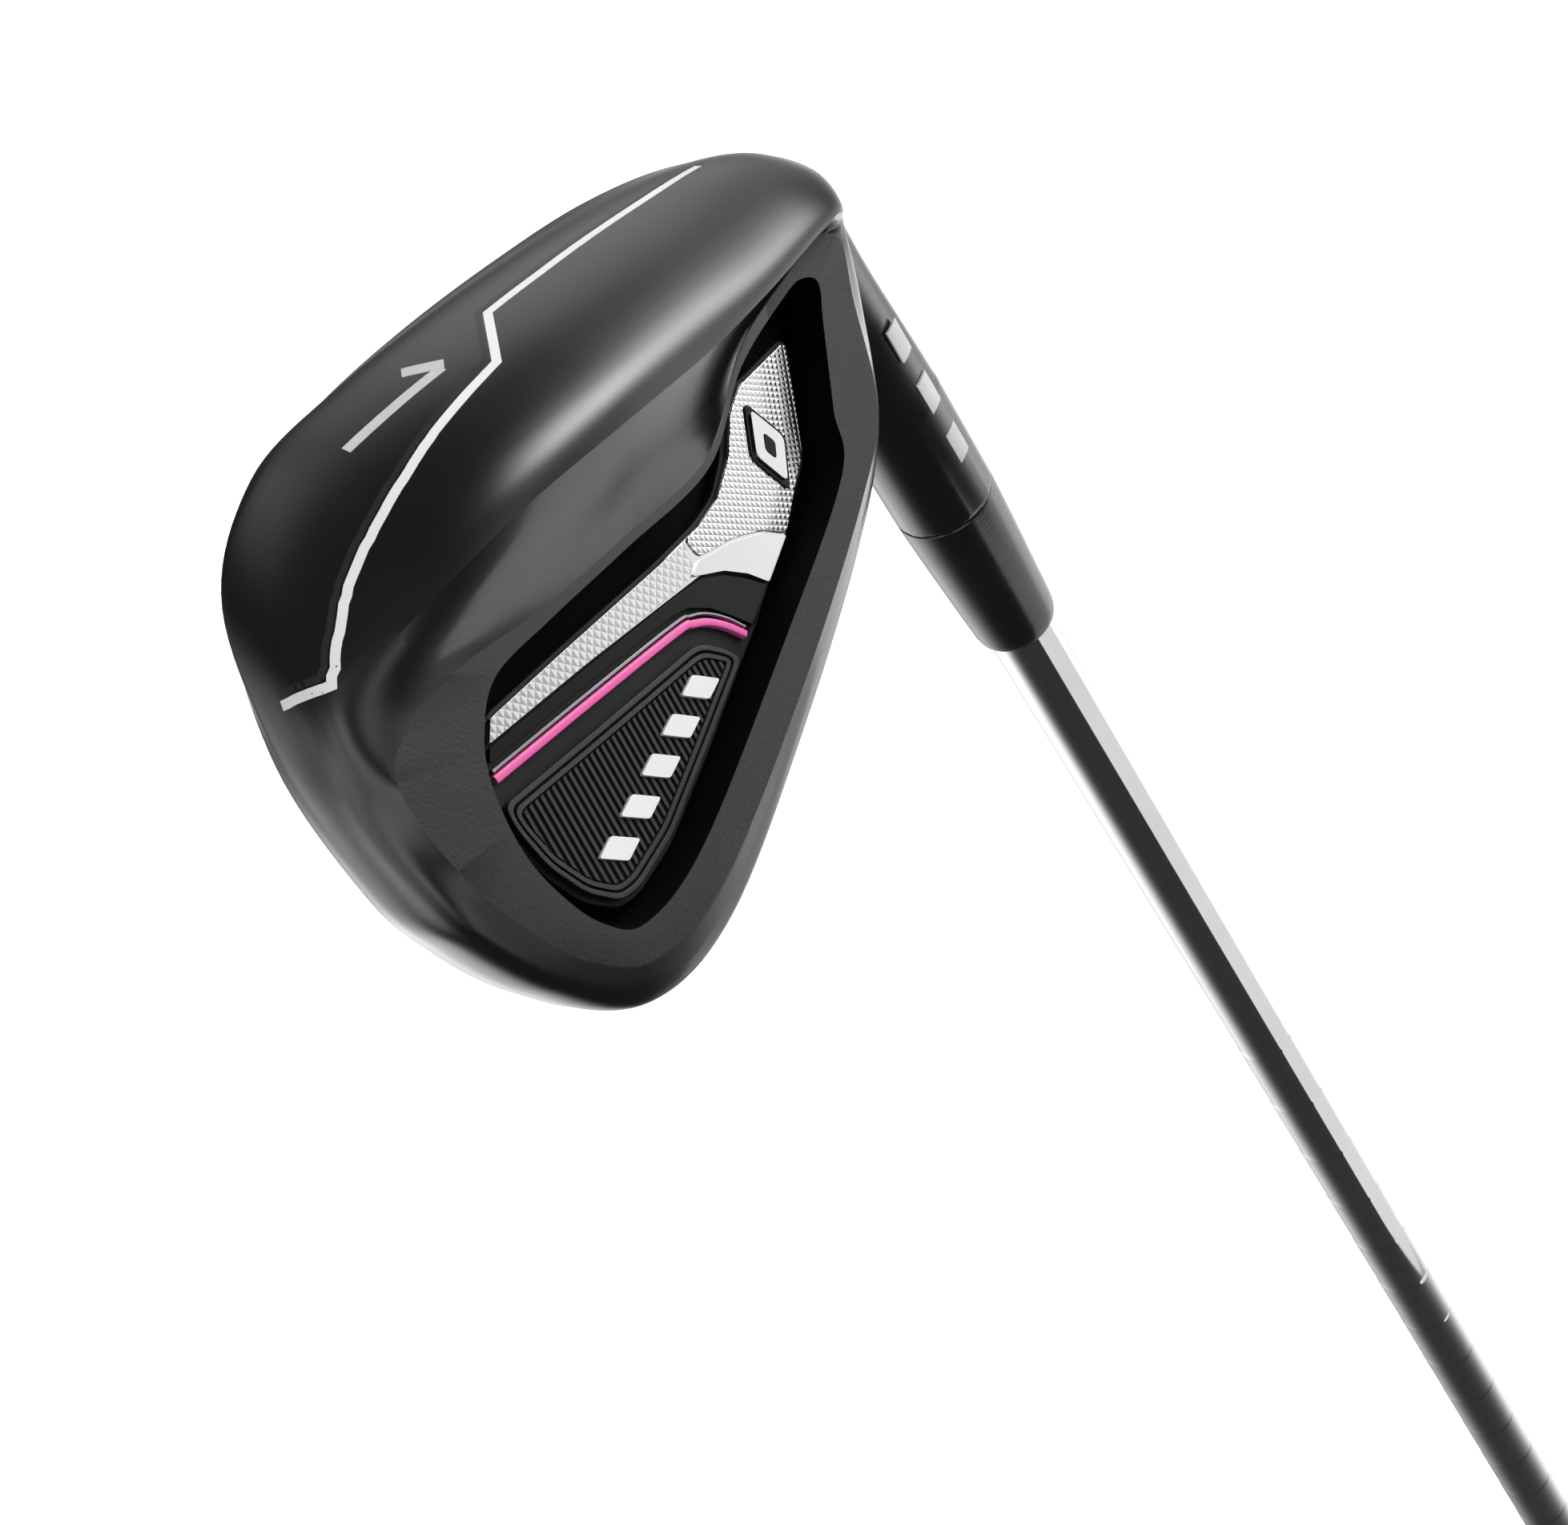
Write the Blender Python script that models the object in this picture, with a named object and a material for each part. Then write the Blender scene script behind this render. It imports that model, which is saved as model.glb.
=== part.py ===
"""Right-handed cavity-back 7-iron golf club, every bonded piece a separate solid.

Row frame, in metres: the origin is the centre of the grip's butt end, +Z runs up the shaft
axis from grip to head, as the club stands in a bag, +Y is the target side (the face looks
that way) and the toe points along -X.

The head is drawn in address coordinates, in millimetres, from the point where the shaft axis
meets the ground: x from heel to toe, y towards the target, z up.
"""

import math

import bmesh
import bpy
from mathutils import Vector
from mathutils.bvhtree import BVHTree

MM = 0.001

# Driving dimensions, millimetres and degrees.
CLUB_LENGTH = 914.4  # butt end to the ground, along the shaft axis: 36 in
LIE = math.radians(62.5)
LOFT = math.radians(30)
LEADING_EDGE = (1.5, 2.5)  # y, z of the line that the face plane passes through
BACK_LEAN = math.radians(25)  # the rim leans less than the face: thin topline, thick sole
RIM = 11.0  # the rim plane's distance from the ground point, along the back normal
CAVITY_FLOOR = 5.0
TAPE_INSET = 0.8
BADGE_PLANE = 7.4  # the plane that the badge's outlines are drawn on
POCKET_DRAFT = 0.7

HOSEL_TOP = 64.0  # along the shaft axis, from the ground point
HOSEL_RADIUS = 6.85
SHOULDER = 46.0  # where the hosel starts to narrow towards its waist
WAIST = 28.0
WAIST_RADIUS = 6.2
HEEL_END = 11.5
HEEL_ROUNDING = ((0, 5), (1, 2), (2.6, 0.5), (4, 0))  # in from the waist, up from the heel's end
BORE_OVERRUN = 5.0
NECK_CENTRES = (Vector((-9.2, 0, 17.7)), Vector((8, -13.2, 18.4)))
NECK_HALVES = ((9.5, 14.7), (5.8, 4.4))  # long and thin half-widths, at the hosel and at the blade
NECK_SWEEP = 1.4  # how late the neck turns back towards the blade
NECK_RINGS = 6
NECK_SIDES = 24
BORE_DEPTH = 34.0
BORE_RADIUS = 5.1
TURNED_SIDES = 32

TIP_RADIUS = 4.7  # a 0.370 in tip
TIP_GAP = 3.0
TIP_BORE = 3.9
FERRULE_LENGTH = 26.4
FERRULE_END_RADIUS = 5.75
FERRULE_STEPS = (0.25, 0.5, 0.75, 0.93)  # where along the ferrule its radius is given
FERRULE_TAPER = 1.2
FERRULE_ROUNDING = ((0.25, 0.5), (0.7, 0))  # in from the end's radius, up from the end
FIRST_STEP = 115.0  # from the ferrule's end
STEP_PITCH = 19.0
STEP_LENGTH = 1.5
STEP_RISE = 0.1
STEPS = 23
BUTT_BORE = 6.3
BUTT_RADIUS = TIP_RADIUS + STEPS * STEP_RISE
PLUG_HEAD = 2.0
PLUG_LENGTH = 16.0
SLEEVE_INSET = 1.0

GRIP_LENGTH = 268.0
GRIP_MOUTH_RADIUS = 8.7
GRIP_BUTT_RADIUS = 13.0
GRIP_CAP = 4.0
VENT_RADIUS = 2.4
MOUTH_BEVEL = (0.5, 1)  # in from the mouth's radius, down from the mouth
GRIP_STEPS = (0.25, 0.5, 0.75, 0.95)  # where along the grip its radius is given
GRIP_TAPER = 1.5
BUTT_ROUNDING = ((0, 5), (0.4, 2.2), (1.5, 0.6), (3, 0))  # in from the butt's radius, up from its end
TAPE_RADIUS = 7.3
TAPE_INSETS = (2, 3)  # from the cap and from the mouth
GRIP_BORE = 7.45

FACE_PLATE_THICKNESS = 1.6
SCORE_LINES = 12
SCORE_PITCH = 3.6
FIRST_SCORE = 9.5
SCORE_SPAN = (18, 66)
SCORE_WIDTH = 0.9
SCORE_DEPTH = 0.5
FIT = 0.1  # gap between two bonded pieces

STRIPE_WIDTH = 1.2
NUMBER_WIDTH = 1.1
PAINT_DEPTH = 0.3
PAINT_SPACING = 4.0
GROOVE_OVERRUN = 0.6

RIB_PITCH = 1.15
RIB_WIDTH = 0.5
MARKS = 5

# The head's lines, station by station round the blade, from the heel along the sole to the toe
# and back along the topline. Each gives the face edge (x, z), three points on the outside
# (x, y, z) in order from the front to the back, the rim's outer edge (x, z) and its inner edge
# (x, z). The face edge lies on the face plane, the rim's edges on the rim plane.
STATIONS = (
    ((-5.4, 10), (-4.7, -4.5, 7.9), (-1.8, -11.5, 8.3), (1.6, -16.4, 10.9), (4.2, 11.8), (10.2, 14.2)),
    ((0, 4.9), (0.6, -6.5, 3.8), (1.8, -14, 5.4), (4.8, -19, 8.3), (7.4, 10.2), (12, 13.1)),
    ((9, 3), (10, -8, 1.5), (11, -17, 4), (12, -21.8, 8), (14.5, 11.4), (15.5, 13.7)),
    ((22, 2.8), (23, -8, 1.6), (24, -19, 4.4), (25, -25, 9.5), (25, 16.2), (26, 17.4)),
    ((36, 4), (37, -8, 2.3), (37, -20.5, 5.2), (37, -26.8, 11.2), (36, 22.7), (36.4, 23.6)),
    ((50, 5.8), (51, -8, 3.8), (51.5, -20.5, 6.6), (51, -27.8, 12.8), (50.5, 24.9), (50.8, 25.8)),
    ((63, 8.2), (64, -7.5, 6.2), (65, -19, 9), (65.5, -27.3, 15.5), (63, 26.3), (62.5, 27.4)),
    ((75.1, 11.5), (76, -7, 10.2), (77.3, -16, 13.1), (78.5, -25, 20.5), (75, 27), (71, 28.9)),
    ((84, 19.3), (84.9, -9, 18.5), (85.9, -16, 20.2), (86.4, -22.5, 24.5), (84.3, 30), (75.2, 32.2)),
    ((88.6, 31), (89.2, -18, 31.2), (89, -22, 31.8), (88.2, -25, 33), (85.8, 35), (77.3, 36)),
    ((88.3, 42.5), (88.8, -25, 42.5), (88.4, -28.5, 42.4), (87, -31, 42.2), (84.2, 42), (78, 41.5)),
    ((86.2, 48.5), (86.5, -28.5, 48), (86, -31.8, 47.6), (84.8, -33.5, 47), (82, 46.6), (77, 46)),
    ((81.5, 55), (81.5, -32, 54.5), (81, -34.8, 53.8), (80, -36, 53), (78.2, 51.7), (74.5, 50.3)),
    ((73, 60.8), (73, -35.5, 60.2), (72.6, -37.6, 59.2), (72, -38.3, 57.5), (71.5, 55.4), (70.2, 52.5)),
    ((60, 59.5), (60, -35, 59), (59.8, -37, 57.8), (59.6, -37.3, 56.2), (60, 53.8), (60, 50.2)),
    ((40, 50.4), (40, -30, 50), (39.8, -32.3, 48.6), (39.6, -32.8, 47), (39.6, 44.4), (39.6, 40.5)),
    ((21, 41), (21, -24.5, 40.4), (20.8, -26.8, 38.8), (20.6, -27.3, 37), (20, 33.6), (20.8, 30.6)),
    ((8.5, 33.5), (8.5, -19, 33), (8.8, -21.6, 31.8), (9.3, -23, 29.6), (11.2, 26.9), (17.2, 25)),
    ((-1, 21.5), (-0.6, -12, 20.8), (0.6, -15.6, 20), (2.8, -18, 18.6), (6.6, 17), (12.4, 17.6)),
)
STATION_SPANS = 4
SECTION_SPANS = 3

FACE_PLATE = (
    (14, 5.5), (30, 6.4), (45, 8.4), (60, 11), (71, 14.5), (79.5, 21), (83.5, 29.5), (84.4, 39),
    (82, 47.5), (77.5, 53.5), (71, 57), (62, 56.6), (45, 49.2), (30, 42.2), (18, 36.4), (14, 31.5),
)

# The badge's outlines, (x, z) on the badge plane.
BADGE = (
    (14.6, 18.4), (24.5, 20.1), (27.6, 22), (30.6, 25.2), (34, 27.6), (38, 28.8), (45, 29.9),
    (60, 31.6), (71.4, 33), (73.6, 35.2), (75, 38), (75.6, 42), (74.5, 46.6), (72.2, 50.4),
    (69, 52.7), (66, 52.7), (60, 51), (50, 46.2), (41, 41.5), (37.6, 39.9), (32.5, 36.9),
    (23, 31.2), (20, 29.3), (14.2, 19.4),
)
CHROME_PLATE = (
    (15.4, 18.9), (23.8, 20.3), (26.8, 22), (30, 25.4), (34, 28), (38, 29.2), (45, 30.3),
    (60, 32), (71.3, 33.4), (72.8, 35.1), (60, 34.1), (46, 33.1), (41, 33), (38, 33.8),
    (35.4, 35.2), (33.4, 36.6), (23.6, 30.8), (20.6, 28.8), (15.1, 19.6),
)
GLOSS_BAR = (
    (33.8, 37), (35.8, 35.5), (38.3, 34.1), (41.2, 33.3), (46, 33.4), (60, 34.4), (73, 35.4),
    (73.8, 36.4), (60, 35.4), (47, 34.6), (44.4, 34.8), (41.9, 35.9), (39.5, 37.9), (37.9, 39.4),
)
ACCENT_LINE = ((39.5, 39.6), (41.2, 38), (43.1, 36.8), (45, 36.2), (47, 36), (60, 36.8), (74.2, 37.8))
SILVER_LINE = ((39.1, 39), (40.7, 37.4), (42.7, 36.1), (44.7, 35.5), (47, 35.3), (60, 36.1), (74, 37.1))
ACCENT_WIDTH = 0.7
SILVER_WIDTH = 0.35
RIB_PANEL = (
    (41.7, 41.1), (43, 39.6), (45.1, 38.2), (46.6, 37.9), (60, 38.9), (74.9, 39.9), (75, 42.2),
    (74, 46.2), (71.8, 49.8), (68.9, 52), (66.3, 52), (60, 50.1), (50.3, 45.4),
)
RIB_FRAME_WIDTH = 0.7
EMBLEM = ((24.6, 22.6), (27, 26.6), (24.8, 30.2), (22.2, 26.4))
MARK_LINE = ((66.4, 48.3), (48.4, 41.1))  # first and last mark's centre
MARK_SIZE = (2.6, 2.6)
MARK_SLANT = 1.0

# Heights above the cavity floor's plane, each (low, high) along the back normal.
TAPE_LAYER = (5.1, 5.4)
BASE_LAYER = (5.5, 6.7)
CHROME_LAYER = (6.8, 7.4)
BAR_LAYER = (6.8, 7.3)
LINE_LAYER = (6.8, 7.5)
PANEL_LAYER = (6.8, 7.2)
RIB_TOP = 7.6
MARK_LAYER = (7.7, 7.95)
EMBLEM_LAYER = (7.5, 7.9)

# Paint lines under the sole, (x, y, z) close to its surface.
STRIPE = (
    (12.8, -7.6, 1.5), (21.5, -8.6, 1.4), (31.5, -9.8, 2), (41.5, -10.9, 3.2),
    (49.5, -11.6, 4), (55.3, -17.7, 6), (65.5, -19, 8), (76.5, -20.9, 11.5),
    (81.5, -21.7, 14.5), (85.5, -23, 19), (87.1, -23.3, 22), (89.5, -17.4, 24.5),
)
NUMBER = ((60.9, -11, 5), (58.7, -14.1, 5), (71.1, -13.3, 8))
HOSEL_MARKS = 3
HOSEL_MARK = (6.0, math.radians(30))  # length along the hosel, angle round it
HOSEL_MARK_START = 33.0
HOSEL_MARK_PITCH = 9.0
HOSEL_MARK_TURN = math.radians(-83)
HOSEL_MARK_HEIGHT = 0.12
HOSEL_MARK_GAP = 0.05
HOSEL_MARK_STEPS = 4


def clear_scene():
    for item in list(bpy.data.objects):
        bpy.data.objects.remove(item, do_unlink=True)


def material(name, colour, roughness, metallic=0.0):
    made = bpy.data.materials.new(name)
    made.use_nodes = True
    shader = made.node_tree.nodes["Principled BSDF"]
    shader.inputs["Base Color"].default_value = (*colour, 1)
    shader.inputs["Roughness"].default_value = roughness
    shader.inputs["Metallic"].default_value = metallic
    return made


def row(x, y, z):
    """An address point in row coordinates, still in millimetres."""
    across = -(math.sin(LIE) * x + math.cos(LIE) * z)
    along = CLUB_LENGTH + math.cos(LIE) * x - math.sin(LIE) * z
    return Vector((across, y, along))


def on_face(x, z, depth=0.0):
    """The point at (x, z) of the face plane, moved this far back along the face's normal."""
    y = LEADING_EDGE[0] - (z - LEADING_EDGE[1]) * math.tan(LOFT)
    return row(x, y - depth * math.cos(LOFT), z - depth * math.sin(LOFT))


def on_back(x, z, plane, height=0.0):
    """The point at (x, z) of a plane parallel to the rim, moved this far along its normal."""
    y = -(plane + math.sin(BACK_LEAN) * z) / math.cos(BACK_LEAN)
    return row(x, y - height * math.cos(BACK_LEAN), z - height * math.sin(BACK_LEAN))


def on_badge(x, z, level):
    return on_back(x, z, BADGE_PLANE, level - BADGE_PLANE)


def spline(points, spans, closed):
    """Points along a Catmull-Rom curve through these, `spans` to each stretch."""
    count = len(points)
    found = []
    for i in range(count if closed else count - 1):
        b, c = points[i], points[(i + 1) % count]
        a = points[i - 1] if closed or i else b * 2 - c
        d = points[(i + 2) % count] if closed or i + 2 < count else c * 2 - b
        for step in range(spans):
            t = step / spans
            square = (a * 2 - b * 5 + c * 4 - d) * t**2
            cube = (b * 3 - a - c * 3 + d) * t**3
            found.append((b * 2 + (c - a) * t + square + cube) / 2)
    return found if closed else found + [points[-1]]


def outward(mesh):
    """Turns every face of a closed mesh outwards."""
    bmesh.ops.recalc_face_normals(mesh, faces=mesh.faces)
    if mesh.calc_volume(signed=True) < 0:
        bmesh.ops.reverse_faces(mesh, faces=mesh.faces)


def add_object(name, mesh, finish, smooth_angle=30):
    """Makes the bmesh, in millimetres, an object in metres."""
    bmesh.ops.scale(mesh, vec=(MM, MM, MM), verts=mesh.verts)
    outward(mesh)
    data = bpy.data.meshes.new(name)
    mesh.to_mesh(data)
    mesh.free()
    data.materials.append(finish)
    data.shade_smooth()
    data.set_sharp_from_angle(angle=math.radians(smooth_angle))
    made = bpy.data.objects.new(name, data)
    bpy.context.scene.collection.objects.link(made)
    return made


def loft(rings):
    """A closed bmesh through rings of equally many points, with a flat face over each end."""
    mesh = bmesh.new()
    rows = [[mesh.verts.new(point) for point in ring] for ring in rings]
    size = len(rings[0])
    for low, high in zip(rows, rows[1:]):
        for i in range(size):
            j = (i + 1) % size
            mesh.faces.new((low[i], low[j], high[j], high[i]))
    mesh.faces.new(rows[0][::-1])
    mesh.faces.new(rows[-1])
    outward(mesh)
    return mesh


def circle(radius, z):
    """A ring of points round the shaft axis."""
    turns = [2 * math.pi * side / TURNED_SIDES for side in range(TURNED_SIDES)]
    return [Vector((radius * math.cos(turn), radius * math.sin(turn), z)) for turn in turns]


def turned(name, profile, finish):
    """A solid of revolution about the shaft axis: a closed profile of (radius, z)."""
    mesh = bmesh.new()
    rows = [[mesh.verts.new(point) for point in circle(radius, z)] for radius, z in profile]
    for i, low in enumerate(rows):
        high = rows[(i + 1) % len(rows)]
        for side in range(TURNED_SIDES):
            after = (side + 1) % TURNED_SIDES
            mesh.faces.new((low[side], low[after], high[after], high[side]))
    return add_object(name, mesh, finish)


def rod(name, profile, finish):
    """A solid of revolution that reaches the axis: an open profile, with flat ends."""
    return add_object(name, loft([circle(radius, z) for radius, z in profile]), finish)


def prism(name, outline, layer, finish, place=on_badge):
    """An (x, z) outline between two levels of the head's back, or of its face."""
    rings = [[place(x, z, level) for x, z in outline] for level in layer]
    return add_object(name, loft(rings), finish)


def band(path, width):
    """The outline of a strip this wide along an open (x, z) path."""
    left, right = [], []
    for i, (x, z) in enumerate(path):
        before, after = path[max(i - 1, 0)], path[min(i + 1, len(path) - 1)]
        along = Vector((after[0] - before[0], after[1] - before[1])).normalized()
        left.append((x - along.y * width / 2, z + along.x * width / 2))
        right.append((x + along.y * width / 2, z - along.x * width / 2))
    return left + right[::-1]


def inset(outline, distance):
    """The (x, z) outline moved inwards, corner by corner."""
    count = len(outline)
    area = sum(
        outline[i][0] * outline[(i + 1) % count][1] - outline[(i + 1) % count][0] * outline[i][1]
        for i in range(count)
    )
    side = 1 if area > 0 else -1
    found = []
    for i, (x, z) in enumerate(outline):
        before = Vector((x - outline[i - 1][0], z - outline[i - 1][1])).normalized()
        after = Vector((outline[(i + 1) % count][0] - x, outline[(i + 1) % count][1] - z)).normalized()
        normal = Vector((-before.y - after.y, before.x + after.x)) * side
        scale = 2 * distance / max(normal.length_squared, 1)
        found.append((x + normal.x * scale, z + normal.y * scale))
    return found


def cut(body, cutter, operation="DIFFERENCE"):
    """Applies a Boolean at once, so that one cutter can serve and go."""
    modifier = body.modifiers.new(operation.title(), "BOOLEAN")
    modifier.operation = operation
    modifier.solver = "EXACT"
    modifier.object = cutter
    graph = bpy.context.evaluated_depsgraph_get()
    result = bpy.data.meshes.new_from_object(body.evaluated_get(graph))
    body.modifiers.clear()
    body.data = result
    bpy.data.objects.remove(cutter, do_unlink=True)


def blade_rings():
    """Rings round the blade, from the face edge over the outside to the cavity's floor."""
    columns = []
    for face, front, middle, back, rim, inner in STATIONS:
        outside = [on_face(*face), row(*front), row(*middle), row(*back), on_back(*rim, RIM)]
        columns.append(spline(outside, SECTION_SPANS, closed=False))
    rings = [spline(list(ring), STATION_SPANS, closed=True) for ring in zip(*columns)]
    edge = [station[-1] for station in STATIONS]
    for outline, height in ((edge, 0.0), (inset(edge, POCKET_DRAFT), CAVITY_FLOOR - RIM)):
        rings.append(spline([on_back(x, z, RIM, height) for x, z in outline], STATION_SPANS, closed=True))
    return rings


def hosel_rings():
    """The hosel's tube, with a rounded heel end."""
    profile = [(HOSEL_RADIUS, HOSEL_TOP), (HOSEL_RADIUS, SHOULDER), (WAIST_RADIUS, WAIST)]
    profile += [(WAIST_RADIUS - inwards, HEEL_END + up) for inwards, up in HEEL_ROUNDING]
    return [circle(radius, CLUB_LENGTH - height) for radius, height in profile]


def neck_rings():
    """The web that carries the blade: it starts inside the hosel and ends inside the heel."""
    lean = (LOFT + BACK_LEAN) / 2
    start, end = NECK_CENTRES
    rings = []
    for step in range(NECK_RINGS):
        t = step / (NECK_RINGS - 1)
        centre = start.lerp(end, t)
        centre.y = end.y * t**NECK_SWEEP
        tilt = (math.pi / 2 - LIE) * (1 - t)
        long_half, thin_half = (low + (high - low) * t for low, high in NECK_HALVES)
        long_axis = Vector((-math.sin(tilt), -math.sin(lean * t), math.cos(tilt) * math.cos(lean * t)))
        thin_axis = Vector((0, math.cos(lean * t), math.sin(lean * t)))
        ring = []
        for i in range(NECK_SIDES):
            turn = 2 * math.pi * i / NECK_SIDES
            point = centre + long_axis * long_half * math.cos(turn) + thin_axis * thin_half * math.sin(turn)
            ring.append(row(*point))
        rings.append(ring)
    return rings


def ribbon(path, surface, width, low, high):
    """A strip along a path of (x, y, z) near a surface, from `low` to `high` above it."""
    found = [surface.find_nearest(row(*point))[:2] for point in path]
    rings = []
    for i, (hit, normal) in enumerate(found):
        before, after = found[max(i - 1, 0)][0], found[min(i + 1, len(found) - 1)][0]
        across = normal.cross(after - before).normalized() * width / 2
        corners = ((1, low), (-1, low), (-1, high), (1, high))
        rings.append([hit + across * side + normal * level for side, level in corners])
    return loft(rings)


def resampled(path, spacing):
    """The same open path with extra points, no further apart than this."""
    found = []
    for start, end in zip(path, path[1:]):
        start, end = Vector(start), Vector(end)
        pieces = max(1, math.ceil((end - start).length / spacing))
        found += [start.lerp(end, i / pieces) for i in range(pieces)]
    return found + [Vector(path[-1])]


def lengthened(path, distance):
    """The same open path, this much longer at both ends."""
    first = path[0] + (path[0] - path[1]).normalized() * distance
    last = path[-1] + (path[-1] - path[-2]).normalized() * distance
    return [first, *path[1:-1], last]


def paint_in_sole(head, name, path, width, finish):
    """Cuts a groove along the path and fills it with a strip of paint, flush with the sole."""
    tree_mesh = bmesh.new()
    tree_mesh.from_mesh(head.data)
    bmesh.ops.scale(tree_mesh, vec=(1 / MM, 1 / MM, 1 / MM), verts=tree_mesh.verts)
    surface = BVHTree.FromBMesh(tree_mesh)
    tree_mesh.free()
    points = resampled(path, PAINT_SPACING)
    groove = ribbon(lengthened(points, FIT), surface, width + 2 * FIT, -PAINT_DEPTH - FIT, GROOVE_OVERRUN)
    fill = ribbon(points, surface, width, -PAINT_DEPTH, 0.0)
    add_object(name, fill, finish)
    cut(head, add_object(name + "_cutter", groove, finish))


def make_head(finishes):
    head = add_object("head_body", loft(blade_rings()), finishes["body"])
    cut(head, add_object("neck", loft(neck_rings()), finishes["body"]), "UNION")
    cut(head, add_object("hosel", loft(hosel_rings()), finishes["body"]), "UNION")
    mouth = CLUB_LENGTH - HOSEL_TOP
    bore = [(BORE_RADIUS, mouth - BORE_OVERRUN), (BORE_RADIUS, mouth + BORE_DEPTH)]
    cut(head, rod("bore", bore, finishes["body"]))
    seat = prism("seat", FACE_PLATE, (-3, FACE_PLATE_THICKNESS), finishes["body"], on_face)
    cut(head, seat)
    paint_in_sole(head, "sole_stripe", STRIPE, STRIPE_WIDTH, finishes["paint"])
    paint_in_sole(head, "sole_number", NUMBER, NUMBER_WIDTH, finishes["number"])
    head.data.shade_smooth()
    head.data.set_sharp_from_angle(angle=math.radians(30))


def make_face_plate(finish):
    plate = prism("face_plate", inset(FACE_PLATE, FIT), (0.0, FACE_PLATE_THICKNESS - FIT), finish, on_face)
    left, right = SCORE_SPAN
    for line in range(SCORE_LINES):
        z = FIRST_SCORE + line * SCORE_PITCH * math.cos(LOFT)
        corners = [(left, z), (right, z), (right, z + SCORE_WIDTH), (left, z + SCORE_WIDTH)]
        cut(plate, prism("score", corners, (-1, SCORE_DEPTH), finish, on_face))


def make_rib_panel(finishes):
    """A plate with upright ribs, and a raised frame round them."""
    inner = inset(RIB_PANEL, RIB_FRAME_WIDTH)
    panel = prism("badge_rib_panel", inset(inner, FIT), (PANEL_LAYER[0], RIB_TOP), finishes["rib"])
    left, right = min(x for x, _ in inner), max(x for x, _ in inner)
    low, high = min(z for _, z in inner) - 2, max(z for _, z in inner) + 2
    x = left + 0.9
    while x < right:
        gap = RIB_PITCH - RIB_WIDTH
        corners = [(x, low), (x + gap, low), (x + gap, high), (x, high)]
        cut(panel, prism("groove", corners, (PANEL_LAYER[1], RIB_TOP + 1), finishes["rib"]))
        x += RIB_PITCH
    frame = prism("badge_rib_frame", RIB_PANEL, (PANEL_LAYER[0], RIB_TOP + 0.1), finishes["badge"])
    cut(frame, prism("window", inner, (PANEL_LAYER[0] - 1, RIB_TOP + 1), finishes["badge"]))


def make_marks(finish):
    (x0, z0), (x1, z1) = MARK_LINE
    along = Vector((x1 - x0, z1 - z0)).normalized()
    up = Vector((along.y, -along.x))
    if up.y < 0:
        up = -up
    for i in range(MARKS):
        t = i / (MARKS - 1)
        centre = Vector((x0 + (x1 - x0) * t, z0 + (z1 - z0) * t))
        corners = []
        for sideways, upright in ((-1, -1), (1, -1), (1, 1), (-1, 1)):
            shift = sideways * MARK_SIZE[0] / 2 + upright * MARK_SLANT
            corners.append(tuple(centre + along * shift + up * upright * MARK_SIZE[1] / 2))
        prism(f"badge_mark_{i + 1}", corners, MARK_LAYER, finish)


def make_badge(finishes):
    prism("badge_tape", inset(BADGE, TAPE_INSET), TAPE_LAYER, finishes["foam"])
    prism("badge_base", BADGE, BASE_LAYER, finishes["badge"])
    prism("badge_chrome_plate", CHROME_PLATE, CHROME_LAYER, finishes["chrome"])
    prism("badge_emblem", EMBLEM, EMBLEM_LAYER, finishes["chrome"])
    prism("badge_gloss_bar", GLOSS_BAR, BAR_LAYER, finishes["gloss"])
    prism("badge_silver_line", band(SILVER_LINE, SILVER_WIDTH), LINE_LAYER, finishes["silver"])
    prism("badge_accent_strip", band(ACCENT_LINE, ACCENT_WIDTH), LINE_LAYER, finishes["accent"])
    make_rib_panel(finishes)
    make_marks(finishes["paint"])


def make_hosel_marks(finish):
    """Raised paint dashes on the hosel, each a curved pad."""
    length, angle = HOSEL_MARK
    inner = HOSEL_RADIUS + HOSEL_MARK_GAP
    outer = inner + HOSEL_MARK_HEIGHT
    for i in range(HOSEL_MARKS):
        start = CLUB_LENGTH - HOSEL_MARK_START - i * HOSEL_MARK_PITCH
        end = start - length
        section = ((inner, start), (outer, start), (outer, end), (inner, end))
        rings = []
        for step in range(HOSEL_MARK_STEPS + 1):
            turn = HOSEL_MARK_TURN + angle * (step / HOSEL_MARK_STEPS - 0.5)
            rings.append([Vector((radius * math.cos(turn), radius * math.sin(turn), z)) for radius, z in section])
        add_object(f"hosel_mark_{i + 1}", loft(rings), finish)


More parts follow.
